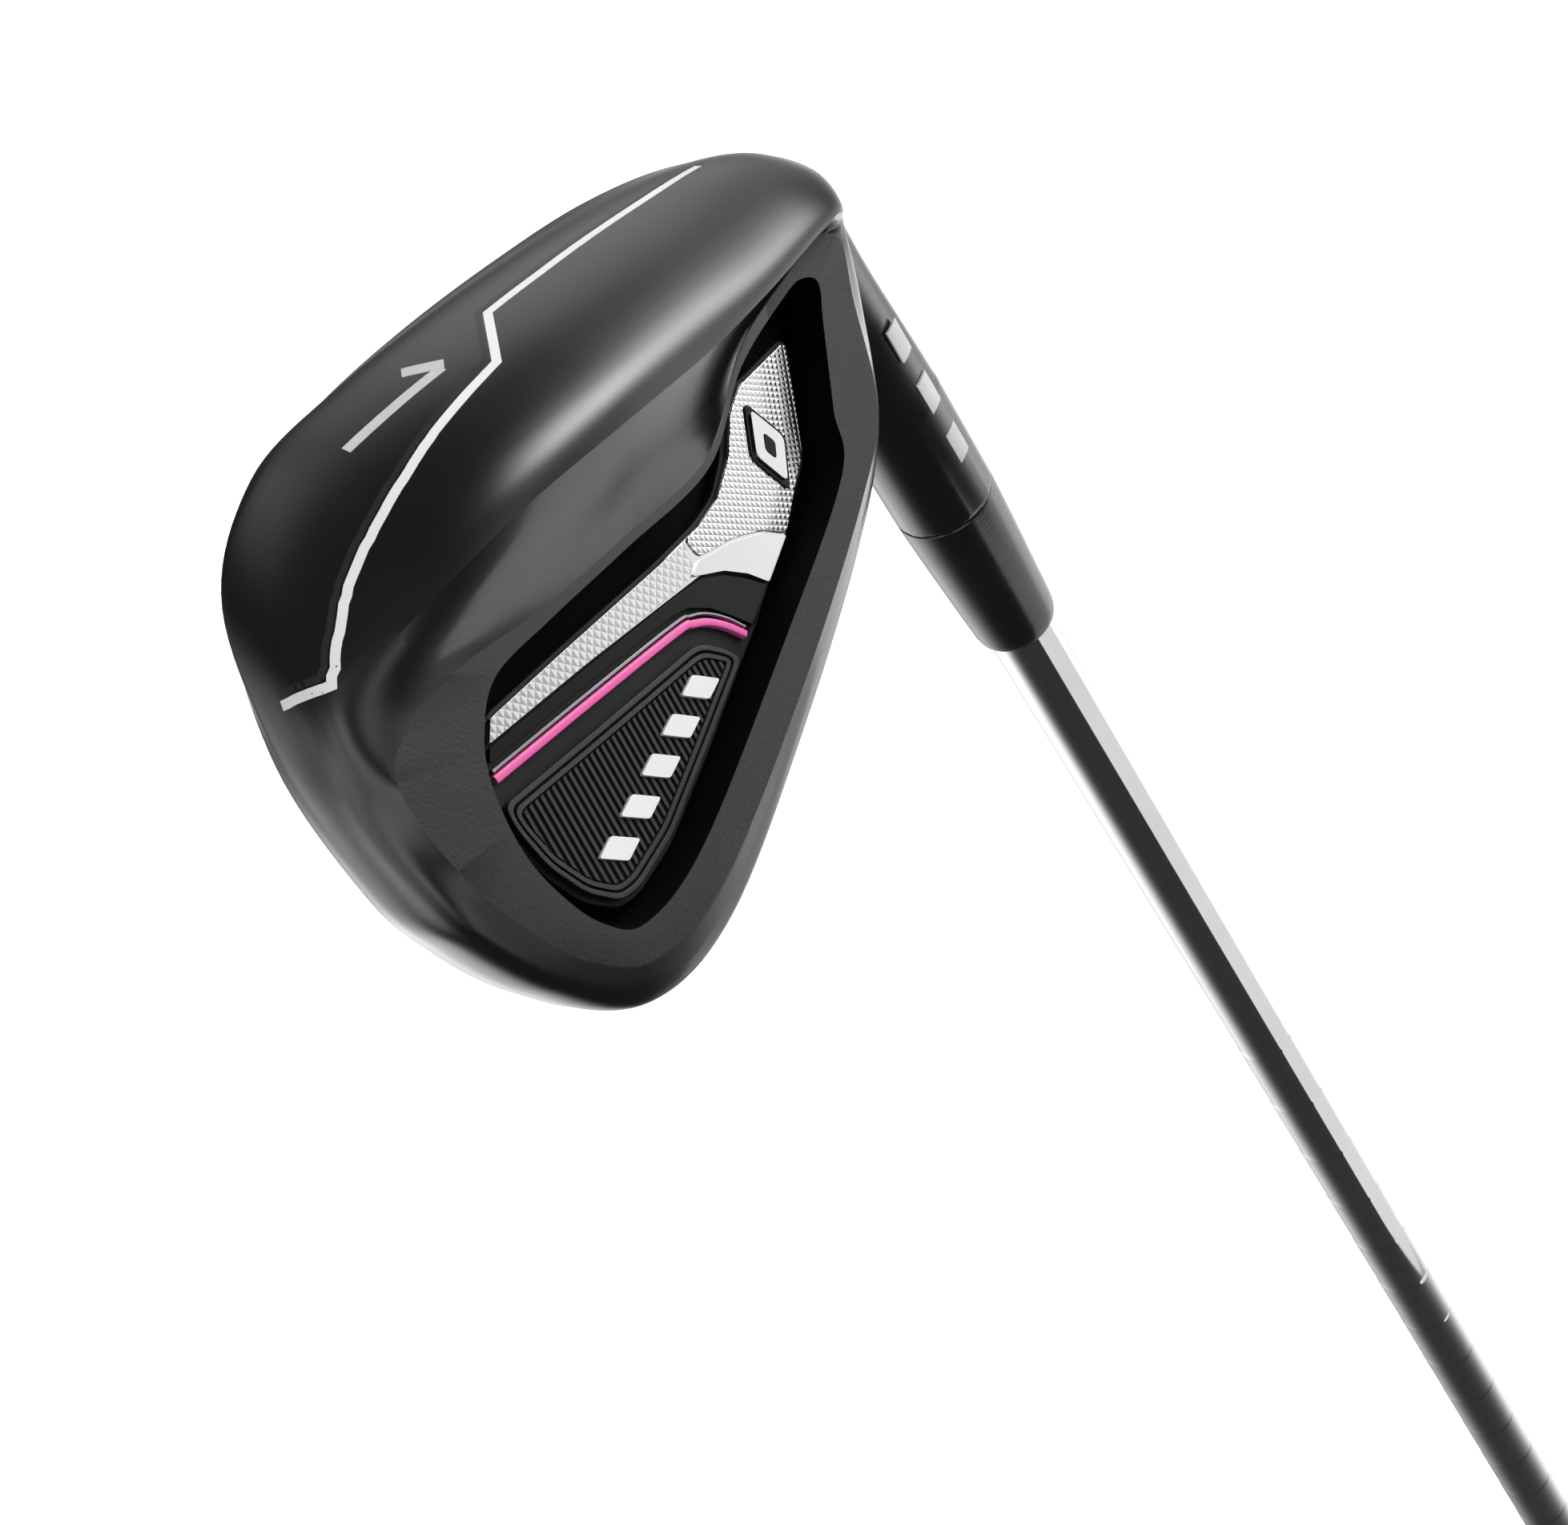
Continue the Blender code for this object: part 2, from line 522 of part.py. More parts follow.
def make_shaft(finishes):
    """The stepped tube with its tip weight, and the sleeve of epoxy round its tip."""
    top = CLUB_LENGTH - HOSEL_TOP + BORE_DEPTH - TIP_GAP
    first_step = CLUB_LENGTH - HOSEL_TOP - FERRULE_LENGTH - FIRST_STEP
    last_step = first_step - (STEPS - 1) * STEP_PITCH
    profile = [(TIP_BORE, top), (TIP_RADIUS, top)]
    for step in range(STEPS):
        radius = TIP_RADIUS + step * STEP_RISE
        z = first_step - step * STEP_PITCH
        profile += [(radius, z), (radius + STEP_RISE, z - STEP_LENGTH)]
    butt = GRIP_CAP + FIT
    profile += [(BUTT_RADIUS, butt), (BUTT_BORE, butt), (BUTT_BORE, last_step), (TIP_BORE, first_step)]
    turned("shaft", profile, finishes["shaft"])

    plug = [(TIP_RADIUS, top + PLUG_HEAD), (TIP_RADIUS, top + FIT)]
    plug += [(TIP_BORE - FIT, top + FIT), (TIP_BORE - FIT, top - PLUG_LENGTH)]
    rod("tip_weight", plug, finishes["brass"])

    outer, inner = BORE_RADIUS - FIT, TIP_RADIUS + FIT
    low, high = CLUB_LENGTH - HOSEL_TOP + SLEEVE_INSET, top - SLEEVE_INSET
    turned("hosel_epoxy", [(outer, low), (outer, high), (inner, high), (inner, low)], finishes["epoxy"])


def make_ferrule(finish):
    start, end = CLUB_LENGTH - HOSEL_TOP - FIT, CLUB_LENGTH - HOSEL_TOP - FERRULE_LENGTH
    bore = TIP_RADIUS + FIT
    profile = [(bore, start), (HOSEL_RADIUS, start)]
    for t in FERRULE_STEPS:
        radius = HOSEL_RADIUS + (FERRULE_END_RADIUS - HOSEL_RADIUS) * t**FERRULE_TAPER
        profile.append((radius, start + (end - start) * t))
    profile += [(FERRULE_END_RADIUS - inwards, end + up) for inwards, up in FERRULE_ROUNDING]
    profile.append((bore, end))
    turned("ferrule", profile, finish)


def make_grip(finishes):
    """The rubber grip with its vented cap, and the tape under it."""
    inner = BUTT_RADIUS + FIT
    low, high = GRIP_CAP + TAPE_INSETS[0], GRIP_LENGTH - TAPE_INSETS[1]
    tape = [(TAPE_RADIUS, high), (TAPE_RADIUS, low), (inner, low), (inner, high)]
    turned("grip_tape", tape, finishes["tape"])

    narrower, below = MOUTH_BEVEL
    outer = [(GRIP_MOUTH_RADIUS - narrower, GRIP_LENGTH), (GRIP_MOUTH_RADIUS, GRIP_LENGTH - below)]
    for t in GRIP_STEPS:
        radius = GRIP_MOUTH_RADIUS + (GRIP_BUTT_RADIUS - GRIP_MOUTH_RADIUS) * t**GRIP_TAPER
        outer.append((radius, GRIP_LENGTH * (1 - t)))
    outer += [(GRIP_BUTT_RADIUS - inwards, z) for inwards, z in BUTT_ROUNDING]
    hollow = [(VENT_RADIUS, 0), (VENT_RADIUS, GRIP_CAP), (GRIP_BORE, GRIP_CAP), (GRIP_BORE, GRIP_LENGTH)]
    turned("grip", outer + hollow, finishes["grip"])


def main():
    clear_scene()
    finishes = {
        "body": material("black_plating", (0.012, 0.012, 0.014), 0.16, 1.0),
        "face": material("black_face", (0.03, 0.03, 0.032), 0.45, 1.0),
        "paint": material("white_paint", (0.86, 0.86, 0.86), 0.35),
        "number": material("silver_paint", (0.7, 0.7, 0.7), 0.4, 0.6),
        "badge": material("black_badge", (0.015, 0.015, 0.016), 0.6),
        "rib": material("grey_ribs", (0.03, 0.03, 0.032), 0.5),
        "chrome": material("bright_chrome", (0.86, 0.86, 0.88), 0.12, 1.0),
        "gloss": material("gloss_black", (0.008, 0.008, 0.009), 0.08),
        "silver": material("silver_line", (0.45, 0.45, 0.46), 0.3, 1.0),
        "accent": material("pink_accent", (0.9, 0.2, 0.5), 0.3),
        "tape": material("grip_tape", (0.75, 0.72, 0.62), 0.8),
        "foam": material("adhesive_tape", (0.1, 0.1, 0.1), 0.8),
        "epoxy": material("epoxy", (0.6, 0.52, 0.3), 0.4),
        "brass": material("brass", (0.75, 0.55, 0.25), 0.35, 1.0),
        "shaft": material("chromed_steel", (0.8, 0.8, 0.82), 0.08, 1.0),
        "ferrule": material("black_ferrule", (0.01, 0.01, 0.011), 0.2),
        "grip": material("grip_rubber", (0.02, 0.02, 0.021), 0.75),
    }
    make_head(finishes)
    make_face_plate(finishes["face"])
    make_badge(finishes)
    make_hosel_marks(finishes["paint"])
    make_shaft(finishes)
    make_ferrule(finishes["ferrule"])
    make_grip(finishes)


main()
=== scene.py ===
import math

import bmesh
import bpy
from mathutils import Matrix, Vector
from mathutils.bvhtree import BVHTree


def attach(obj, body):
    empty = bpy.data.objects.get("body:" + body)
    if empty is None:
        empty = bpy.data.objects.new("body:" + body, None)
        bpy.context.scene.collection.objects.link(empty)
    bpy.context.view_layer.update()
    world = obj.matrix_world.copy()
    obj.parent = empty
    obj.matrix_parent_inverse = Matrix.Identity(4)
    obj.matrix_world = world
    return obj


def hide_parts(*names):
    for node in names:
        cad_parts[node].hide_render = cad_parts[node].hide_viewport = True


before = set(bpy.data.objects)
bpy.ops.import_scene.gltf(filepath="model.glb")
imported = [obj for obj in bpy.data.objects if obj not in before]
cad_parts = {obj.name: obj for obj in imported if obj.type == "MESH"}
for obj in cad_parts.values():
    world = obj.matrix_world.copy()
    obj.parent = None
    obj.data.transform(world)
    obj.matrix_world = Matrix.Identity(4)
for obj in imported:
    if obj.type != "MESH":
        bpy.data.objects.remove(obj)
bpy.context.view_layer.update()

# The head's own coordinates are millimetres from the point where the shaft axis meets the
# ground: x from heel to toe, y towards the target, z up.
MM = 0.001
LIE = math.radians(62.5)
LOFT = math.radians(30)
BACK_LEAN = math.radians(25)
CLUB_LENGTH = 914.4
LEADING_EDGE = (1.5, 2.5)
RIM = 11.0
CAVITY_FLOOR = 5.0
BADGE_PLANE = 7.4


def row(x, y, z):
    """A head point in the frame's coordinates, in metres."""
    across = -(math.sin(LIE) * x + math.cos(LIE) * z)
    along = CLUB_LENGTH + math.cos(LIE) * x - math.sin(LIE) * z
    return Vector((across, y, along)) * MM


def turn_row(vector):
    """A direction of the head's coordinates in the frame's."""
    x, y, z = vector
    return Vector((-(math.sin(LIE) * x + math.cos(LIE) * z), y, math.cos(LIE) * x - math.sin(LIE) * z))


def on_face(x, z, depth=0.0):
    y = LEADING_EDGE[0] - (z - LEADING_EDGE[1]) * math.tan(LOFT)
    return Vector((x, y - depth * math.cos(LOFT), z - depth * math.sin(LOFT)))


def on_back(x, z, level):
    """The point seen at (x, z) of the badge's plane, this far up the back's normal."""
    return on_plane(x, z, BADGE_PLANE, level - BADGE_PLANE)


def on_plane(x, z, plane, height=0.0):
    y = -(plane + math.sin(BACK_LEAN) * z) / math.cos(BACK_LEAN)
    return Vector((x, y - height * math.cos(BACK_LEAN), z - height * math.sin(BACK_LEAN)))


BACK_NORMAL = Vector((0, -math.cos(BACK_LEAN), -math.sin(BACK_LEAN)))

# ---------------------------------------------------------------- materials


PATCHES = 60  # features per metre of the slow change of colour
WEAR = 140  # and of the change of roughness
NOISE_RANGE = (0.25, 0.75)  # the values that noise mostly stays between
CHROME = (0.8, 0.8, 0.81)
CHROME_ROUGHNESS = (0.1, 0.2)
CHROME_WEAR = 300


def new_material(name, colour, roughness, metallic=0.0, ior=1.5):
    made = bpy.data.materials.new(name)
    made.use_nodes = True
    shader = made.node_tree.nodes["Principled BSDF"]
    shader.inputs["Base Color"].default_value = (*colour, 1)
    shader.inputs["Roughness"].default_value = roughness
    shader.inputs["Metallic"].default_value = metallic
    shader.inputs["IOR"].default_value = ior
    return made, made.node_tree, shader


def node(tree, kind, **settings):
    made = tree.nodes.new(kind)
    for name, value in settings.items():
        if name in made.inputs:
            made.inputs[name].default_value = value
        else:
            setattr(made, name, value)
    return made


def noise(tree, scale, detail=3.0, stretch=(1, 1, 1)):
    """Noise in object space, in features per metre, stretched along the axes."""
    where = node(tree, "ShaderNodeTexCoord")
    mapping = node(tree, "ShaderNodeMapping", Scale=stretch)
    made = node(tree, "ShaderNodeTexNoise", Scale=scale, Detail=detail)
    tree.links.new(where.outputs["Object"], mapping.inputs["Vector"])
    tree.links.new(mapping.outputs["Vector"], made.inputs["Vector"])
    return made.outputs["Fac"]


def spread(tree, value, low, high):
    """The noise value stretched to run from low to high."""
    made = node(tree, "ShaderNodeMapRange")
    made.inputs["From Min"].default_value = NOISE_RANGE[0]
    made.inputs["From Max"].default_value = NOISE_RANGE[1]
    made.inputs["To Min"].default_value = low
    made.inputs["To Max"].default_value = high
    tree.links.new(value, made.inputs["Value"])
    return made.outputs["Result"]


def bump(tree, shader, height, strength, distance):
    made = node(tree, "ShaderNodeBump", Strength=strength, Distance=distance)
    tree.links.new(height, made.inputs["Height"])
    tree.links.new(made.outputs["Normal"], shader.inputs["Normal"])


def blend_colour(tree, shader, factor, low, high):
    made = node(tree, "ShaderNodeMix", data_type="RGBA")
    ends = {"A": (*low, 1), "B": (*high, 1)}
    for socket in made.inputs:
        if socket.type == "RGBA":
            socket.default_value = ends[socket.name]
    tree.links.new(factor, made.inputs["Factor"])
    result = [socket for socket in made.outputs if socket.type == "RGBA"][0]
    tree.links.new(result, shader.inputs["Base Color"])


def surfaced(name, colours, roughness, grain=(900, 0.1, 0.00003), stretch=(1, 1, 1), **settings):
    """A material whose colour and roughness vary between two values, with a bump grain."""
    low, high = colours
    made, tree, shader = new_material(name, low, roughness[0], **settings)
    patches = noise(tree, PATCHES, 4)
    blend_colour(tree, shader, spread(tree, patches, 0, 1), low, high)
    rough = spread(tree, noise(tree, WEAR, 3), *roughness)
    tree.links.new(rough, shader.inputs["Roughness"])
    scale, strength, distance = grain
    bump(tree, shader, noise(tree, scale, 4, stretch), strength, distance)
    return made


def grid_height(tree, pitch, turn):
    """Rows of small pyramids on the back's plane."""
    across, up = turn_row((1, 0, 0)), turn_row((0, -math.sin(BACK_LEAN), math.cos(BACK_LEAN)))
    first = across * math.cos(turn) + up * math.sin(turn)
    second = up * math.cos(turn) - across * math.sin(turn)
    where = node(tree, "ShaderNodeTexCoord")
    heights = []
    for axis in (first, second):
        dot = node(tree, "ShaderNodeVectorMath", operation="DOT_PRODUCT")
        tree.links.new(where.outputs["Object"], dot.inputs[0])
        dot.inputs[1].default_value = axis / (pitch * MM)
        wave = node(tree, "ShaderNodeMath", operation="PINGPONG")
        tree.links.new(dot.outputs["Value"], wave.inputs[0])
        wave.inputs[1].default_value = 0.5
        heights.append(wave.outputs[0])
    lower = node(tree, "ShaderNodeMath", operation="MINIMUM")
    tree.links.new(heights[0], lower.inputs[0])
    tree.links.new(heights[1], lower.inputs[1])
    return lower.outputs[0]


def chrome_grid(name, pitch, turn, strength, distance):
    """Chrome pressed with a grid of small pyramids, its rows turned from the head's own x."""
    made, tree, shader = new_material(name, CHROME, CHROME_ROUGHNESS[0], 1.0)
    rough = spread(tree, noise(tree, CHROME_WEAR, 3), *CHROME_ROUGHNESS)
    tree.links.new(rough, shader.inputs["Roughness"])
    bump(tree, shader, grid_height(tree, pitch, turn), strength, distance)
    return made


# Each grain is its features per metre, its strength and its height in metres.
FINISH = {
    "gloss": surfaced(
        "gloss_black_plating",
        colours=((0.006, 0.006, 0.007), (0.011, 0.011, 0.012)),
        roughness=(0.12, 0.18),
        grain=(2500, 0.05, 0.00001),
        ior=1.77,
    ),
    "matte": surfaced(
        "matte_black_rim",
        colours=((0.009, 0.009, 0.0095), (0.014, 0.014, 0.015)),
        roughness=(0.42, 0.52),
        grain=(2600, 0.5, 0.00009),
        ior=1.55,
    ),
    # the pocket's walls and floor: black plating, painted darker than the rim and given weaker reflection as
    # painted shade in the recess
    "wall": surfaced(
        "pocket_black_painted_shade",
        colours=((0.002, 0.002, 0.002), (0.004, 0.004, 0.004)),
        roughness=(0.6, 0.75),
        grain=(4500, 0.5, 0.00006),
        ior=1.13,
    ),
    "face": surfaced(
        "blasted_face",
        colours=((0.035, 0.035, 0.037), (0.05, 0.05, 0.052)),
        roughness=(0.4, 0.5),
        grain=(3500, 0.4, 0.00005),
        ior=1.7,
    ),
    "ferrule": surfaced(
        "turned_ferrule",
        colours=((0.008, 0.008, 0.009), (0.012, 0.012, 0.013)),
        roughness=(0.16, 0.24),
        grain=(110, 0.35, 0.00006),
        stretch=(1, 1, 38),
        ior=1.65,
    ),
    "badge": surfaced(
        "badge_black",
        colours=((0.007, 0.007, 0.0075), (0.011, 0.011, 0.012)),
        roughness=(0.45, 0.6),
        grain=(3500, 0.35, 0.00005),
        ior=1.35,
    ),
    "rib": surfaced(
        "rib_black",
        colours=((0.02, 0.02, 0.021), (0.03, 0.03, 0.032)),
        roughness=(0.35, 0.5),
        grain=(3500, 0.4, 0.00005),
    ),
    "frame": surfaced(
        "frame_black",
        colours=((0.02, 0.02, 0.02), (0.035, 0.035, 0.036)),
        roughness=(0.4, 0.5),
        grain=(5200, 0.6, 0.00008),
    ),
    "bar": surfaced(
        "gloss_black_bar",
        colours=((0.004, 0.004, 0.005), (0.007, 0.007, 0.008)),
        roughness=(0.06, 0.11),
        grain=(1500, 0.03, 0.00001),
        ior=1.35,
    ),
    "mirror": surfaced(
        "polished_chrome",
        colours=((0.78, 0.78, 0.8), (0.84, 0.84, 0.85)),
        roughness=(0.06, 0.1),
        grain=(900, 0.03, 0.00001),
        metallic=1.0,
    ),
    "square": chrome_grid("chrome_square_grid", 0.62, math.radians(64), 1.0, 0.0001),
    "diamond": chrome_grid("chrome_diamond_grid", 0.8, math.radians(52), 0.7, 0.00008),
    "silver": surfaced(
        "silver_line",
        colours=((0.4, 0.4, 0.41), (0.52, 0.52, 0.53)),
        roughness=(0.2, 0.3),
        grain=(1500, 0.1, 0.00002),
        metallic=1.0,
    ),
    "pink": surfaced(
        "pink_enamel",
        colours=((0.88, 0.13, 0.42), (0.95, 0.17, 0.5)),
        roughness=(0.2, 0.28),
        grain=(1500, 0.05, 0.00001),
    ),
    "white": surfaced(
        "white_enamel",
        colours=((0.86, 0.86, 0.86), (0.93, 0.93, 0.93)),
        roughness=(0.3, 0.4),
        grain=(2500, 0.15, 0.00002),
    ),
    "stamp": surfaced(
        "silver_paint",
        colours=((0.55, 0.55, 0.56), (0.82, 0.82, 0.83)),
        roughness=(0.35, 0.5),
        grain=(4500, 0.8, 0.00012),
        metallic=0.15,
    ),
    "ghost": surfaced(
        "stripe_shoulder",
        colours=((0.02, 0.02, 0.021), (0.03, 0.03, 0.031)),
        roughness=(0.2, 0.26),
        grain=(2500, 0.05, 0.00001),
    ),
    "shaft": surfaced(
        "chromed_shaft",
        colours=((0.6, 0.6, 0.61), (0.66, 0.66, 0.67)),
        roughness=(0.05, 0.08),
        grain=(400, 0.02, 0.00001),
        metallic=1.0,
    ),
    "grip": surfaced(
        "grip_rubber",
        colours=((0.018, 0.018, 0.019), (0.03, 0.03, 0.032)),
        roughness=(0.65, 0.8),
        grain=(3000, 0.5, 0.0001),
    ),
    "tape": surfaced(
        "paper_tape",
        colours=((0.7, 0.66, 0.55), (0.78, 0.74, 0.64)),
        roughness=(0.75, 0.9),
        grain=(2500, 0.3, 0.00004),
    ),
    "foam": surfaced(
        "foam_tape",
        colours=((0.07, 0.07, 0.07), (0.1, 0.1, 0.1)),
        roughness=(0.8, 0.9),
        grain=(5000, 0.5, 0.00006),
    ),
    "epoxy": surfaced(
        "cured_epoxy",
        colours=((0.55, 0.46, 0.25), (0.65, 0.56, 0.33)),
        roughness=(0.3, 0.45),
        grain=(900, 0.15, 0.00004),
    ),
    "brass": surfaced(
        "turned_brass",
        colours=((0.7, 0.5, 0.22), (0.8, 0.6, 0.3)),
        roughness=(0.25, 0.4),
        grain=(90, 0.3, 0.00005),
        stretch=(1, 1, 40),
        metallic=1.0,
    ),
}

# ---------------------------------------------------------------- mesh helpers


def spline(points, spans, closed):
    """Points along a Catmull-Rom curve through these, `spans` to each stretch."""
    points = [Vector(point) for point in points]
    count = len(points)
    found = []
    for i in range(count if closed else count - 1):
        b, c = points[i], points[(i + 1) % count]
        a = points[i - 1] if closed or i else b * 2 - c
        d = points[(i + 2) % count] if closed or i + 2 < count else c * 2 - b
        for step in range(spans):
            t = step / spans
            square = (a * 2 - b * 5 + c * 4 - d) * t**2
            cube = (b * 3 - a - c * 3 + d) * t**3
            found.append((b * 2 + (c - a) * t + square + cube) / 2)
    return found if closed else found + [points[-1]]


def publish(name, mesh, finishes, replaces=(), angle=30):
    """Makes the closed bmesh, in frame metres, a piece of the visual model."""
    bmesh.ops.recalc_face_normals(mesh, faces=mesh.faces)
    if mesh.calc_volume(signed=True) < 0:
        bmesh.ops.reverse_faces(mesh, faces=mesh.faces)
    data = bpy.data.meshes.new(name)
    mesh.to_mesh(data)
    mesh.free()
    for finish in finishes:
        data.materials.append(finish)
    data.shade_smooth()
    data.set_sharp_from_angle(angle=math.radians(angle))
    made = bpy.data.objects.new(name, data)
    bpy.context.scene.collection.objects.link(made)
    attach(made, "root")
    if replaces:
        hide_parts(*replaces)
    return made


def add_bevel(piece, width, segments=2, angle=30):
    bevel = piece.modifiers.new("Bevel", "BEVEL")
    bevel.width = width * MM
    bevel.segments = segments
    bevel.limit_method = "ANGLE"
    bevel.angle_limit = math.radians(angle)
    bevel.harden_normals = True


def loft(rings):
    """A closed bmesh through rings of equally many points, with a flat face over each end."""
    mesh = bmesh.new()
    rows = [[mesh.verts.new(point) for point in ring] for ring in rings]
    size = len(rings[0])
    for low, high in zip(rows, rows[1:]):
        for i in range(size):
            j = (i + 1) % size
            mesh.faces.new((low[i], low[j], high[j], high[i]))
    mesh.faces.new(rows[0][::-1])
    mesh.faces.new(rows[-1])
    return mesh


def tube(rings):
    """A closed bmesh through rings of equally many points, the last joined to the first."""
    mesh = bmesh.new()
    rows = [[mesh.verts.new(point) for point in ring] for ring in rings]
    for k, low in enumerate(rows):
        high = rows[(k + 1) % len(rows)]
        for i in range(len(low)):
            j = (i + 1) % len(low)
            mesh.faces.new((low[i], low[j], high[j], high[i]))
    return mesh


CORNER_STEPS = 5
CORNER_SHARE = 0.48  # a corner's rounding takes at most this much of the side beside it
PATH_SPANS = 6


def rounded(outline, radius):
    """The closed outline with each corner rounded."""
    count = len(outline)
    found = []
    for i in range(count):
        corner = Vector(outline[i])
        before, after = Vector(outline[i - 1]) - corner, Vector(outline[(i + 1) % count]) - corner
        start = corner + before.normalized() * min(radius, before.length * CORNER_SHARE)
        end = corner + after.normalized() * min(radius, after.length * CORNER_SHARE)
        for step in range(CORNER_STEPS + 1):
            t = step / CORNER_STEPS
            found.append(start * (1 - t) ** 2 + corner * 2 * t * (1 - t) + end * t**2)
    return [tuple(point) for point in found]


def inset(outline, distance):
    """The outline moved inwards, corner by corner."""
    count = len(outline)
    following = outline[1:] + outline[:1]
    area = sum(a[0] * b[1] - b[0] * a[1] for a, b in zip(outline, following))
    side = 1 if area > 0 else -1
    found = []
    for i, (x, z) in enumerate(outline):
        before = Vector((x - outline[i - 1][0], z - outline[i - 1][1])).normalized()
        after = Vector((outline[(i + 1) % count][0] - x, outline[(i + 1) % count][1] - z)).normalized()
        normal = Vector((-before.y - after.y, before.x + after.x)) * side
        scale = 2 * distance / max(normal.length_squared, 1)
        found.append((x + normal.x * scale, z + normal.y * scale))
    return found


def plate(name, outline, levels, finish, replaces, bevel):
    """An outline between two levels of the back, with softened edges."""
    low, high = levels
    rings = [[row(*on_back(x, z, low)) for x, z in outline], [row(*on_back(x, z, high)) for x, z in outline]]
    piece = publish(name, loft(rings), [finish], replaces)
    add_bevel(piece, bevel)


def flowing(path):
    """The open path as a smooth curve."""
    return [(point[0], point[1]) for point in spline(path, PATH_SPANS, closed=False)]


CROWN_EDGE = 0.2  # how far below a strip's top its sides end
CROWN_SHOULDER = 0.06


def crowned(name, path, width, low, high, finish, replaces):
    """A strip along a path of the back, with a rounded top."""
    section = [(1, low), (1, high - CROWN_EDGE), (0.8, high - CROWN_SHOULDER), (0.4, high)]
    section += [(-offset, level) for offset, level in reversed(section)]
    rings = []
    for i, (x, z) in enumerate(path):
        before, after = path[max(i - 1, 0)], path[min(i + 1, len(path) - 1)]
        along = Vector((after[0] - before[0], after[1] - before[1])).normalized()
        side = Vector((-along.y, along.x))
        ring = []
        for offset, level in section:
            across = offset * width / 2
            ring.append(row(*on_back(x + side.x * across, z + side.y * across, level)))
        rings.append(ring)
    publish(name, loft(rings), [finish], replaces)


def turns(sides):
    """Equal steps of a full turn."""
    return [2 * math.pi * side / sides for side in range(sides)]


def round_axis(radius, turn, z):
    """A point this far round the shaft axis, in the frame's metres."""
    return Vector((radius * math.cos(turn), radius * math.sin(turn), z)) * MM


def turned(name, profile, finish, replaces):
    """A ring-shaped solid of revolution: a closed profile of (radius, z)."""
    rings = [[round_axis(radius, turn, z) for radius, z in profile] for turn in turns(ROUND_SIDES)]
    publish(name, tube(rings), [finish], replaces)


# ---------------------------------------------------------------- head

# The head's lines, station by station round the blade, from the heel along the sole to the toe
# and back along the topline. Each gives the face edge (x, z), three points on the outside
# (x, y, z) from the front to the back, the rim's outer edge (x, z) and its inner edge (x, z).
STATIONS = (
    ((-5.4, 10), (-4.7, -4.5, 7.9), (-1.8, -11.5, 8.3), (1.6, -16.4, 10.9), (4.2, 11.8), (10.2, 14.2)),
    ((0, 4.9), (0.6, -6.5, 3.8), (1.8, -14, 5.4), (4.8, -19, 8.3), (7.4, 10.2), (12, 13.1)),
    ((9, 3), (10, -8, 1.5), (11, -17, 4), (12, -21.8, 8), (14.5, 11.4), (15.5, 13.7)),
    ((22, 2.8), (23, -8, 1.6), (24, -19, 4.4), (25, -25, 9.5), (25, 16.2), (26, 17.4)),
    ((36, 4), (37, -8, 2.3), (37, -20.5, 5.2), (37, -26.8, 11.2), (36, 22.7), (36.4, 23.6)),
    ((50, 5.8), (51, -8, 3.8), (51.5, -20.5, 6.6), (51, -27.8, 12.8), (50.5, 24.9), (50.8, 25.8)),
    ((63, 8.2), (64, -7.5, 6.2), (65, -19, 9), (65.5, -27.3, 15.5), (63, 26.3), (62.5, 27.4)),
    ((75.1, 11.5), (76, -7, 10.2), (77.3, -16, 13.1), (78.5, -25, 20.5), (75, 27), (71, 28.9)),
    ((84, 19.3), (84.9, -9, 18.5), (85.9, -16, 20.2), (86.4, -22.5, 24.5), (84.3, 30), (75.2, 32.2)),
    ((88.6, 31), (89.2, -18, 31.2), (89, -22, 31.8), (88.2, -25, 33), (85.8, 35), (77.3, 36)),
    ((88.3, 42.5), (88.8, -25, 42.5), (88.4, -28.5, 42.4), (87, -31, 42.2), (84.2, 42), (78, 41.5)),
    ((86.2, 48.5), (86.5, -28.5, 48), (86, -31.8, 47.6), (84.8, -33.5, 47), (82, 46.6), (77, 46)),
    ((81.5, 55), (81.5, -32, 54.5), (81, -34.8, 53.8), (80, -36, 53), (78.2, 51.7), (74.5, 50.3)),
    ((73, 60.8), (73, -35.5, 60.2), (72.6, -37.6, 59.2), (72, -38.3, 57.5), (71.5, 55.4), (70.2, 52.5)),
    ((60, 59.5), (60, -35, 59), (59.8, -37, 57.8), (59.6, -37.3, 56.2), (60, 53.8), (60, 50.2)),
    ((40, 50.4), (40, -30, 50), (39.8, -32.3, 48.6), (39.6, -32.8, 47), (39.6, 44.4), (39.6, 40.5)),
    ((21, 41), (21, -24.5, 40.4), (20.8, -26.8, 38.8), (20.6, -27.3, 37), (20, 33.6), (20.8, 30.6)),
    ((8.5, 33.5), (8.5, -19, 33), (8.8, -21.6, 31.8), (9.3, -23, 29.6), (11.2, 26.9), (17.2, 25)),
    ((-1, 21.5), (-0.6, -12, 20.8), (0.6, -15.6, 20), (2.8, -18, 18.6), (6.6, 17), (12.4, 17.6)),
)
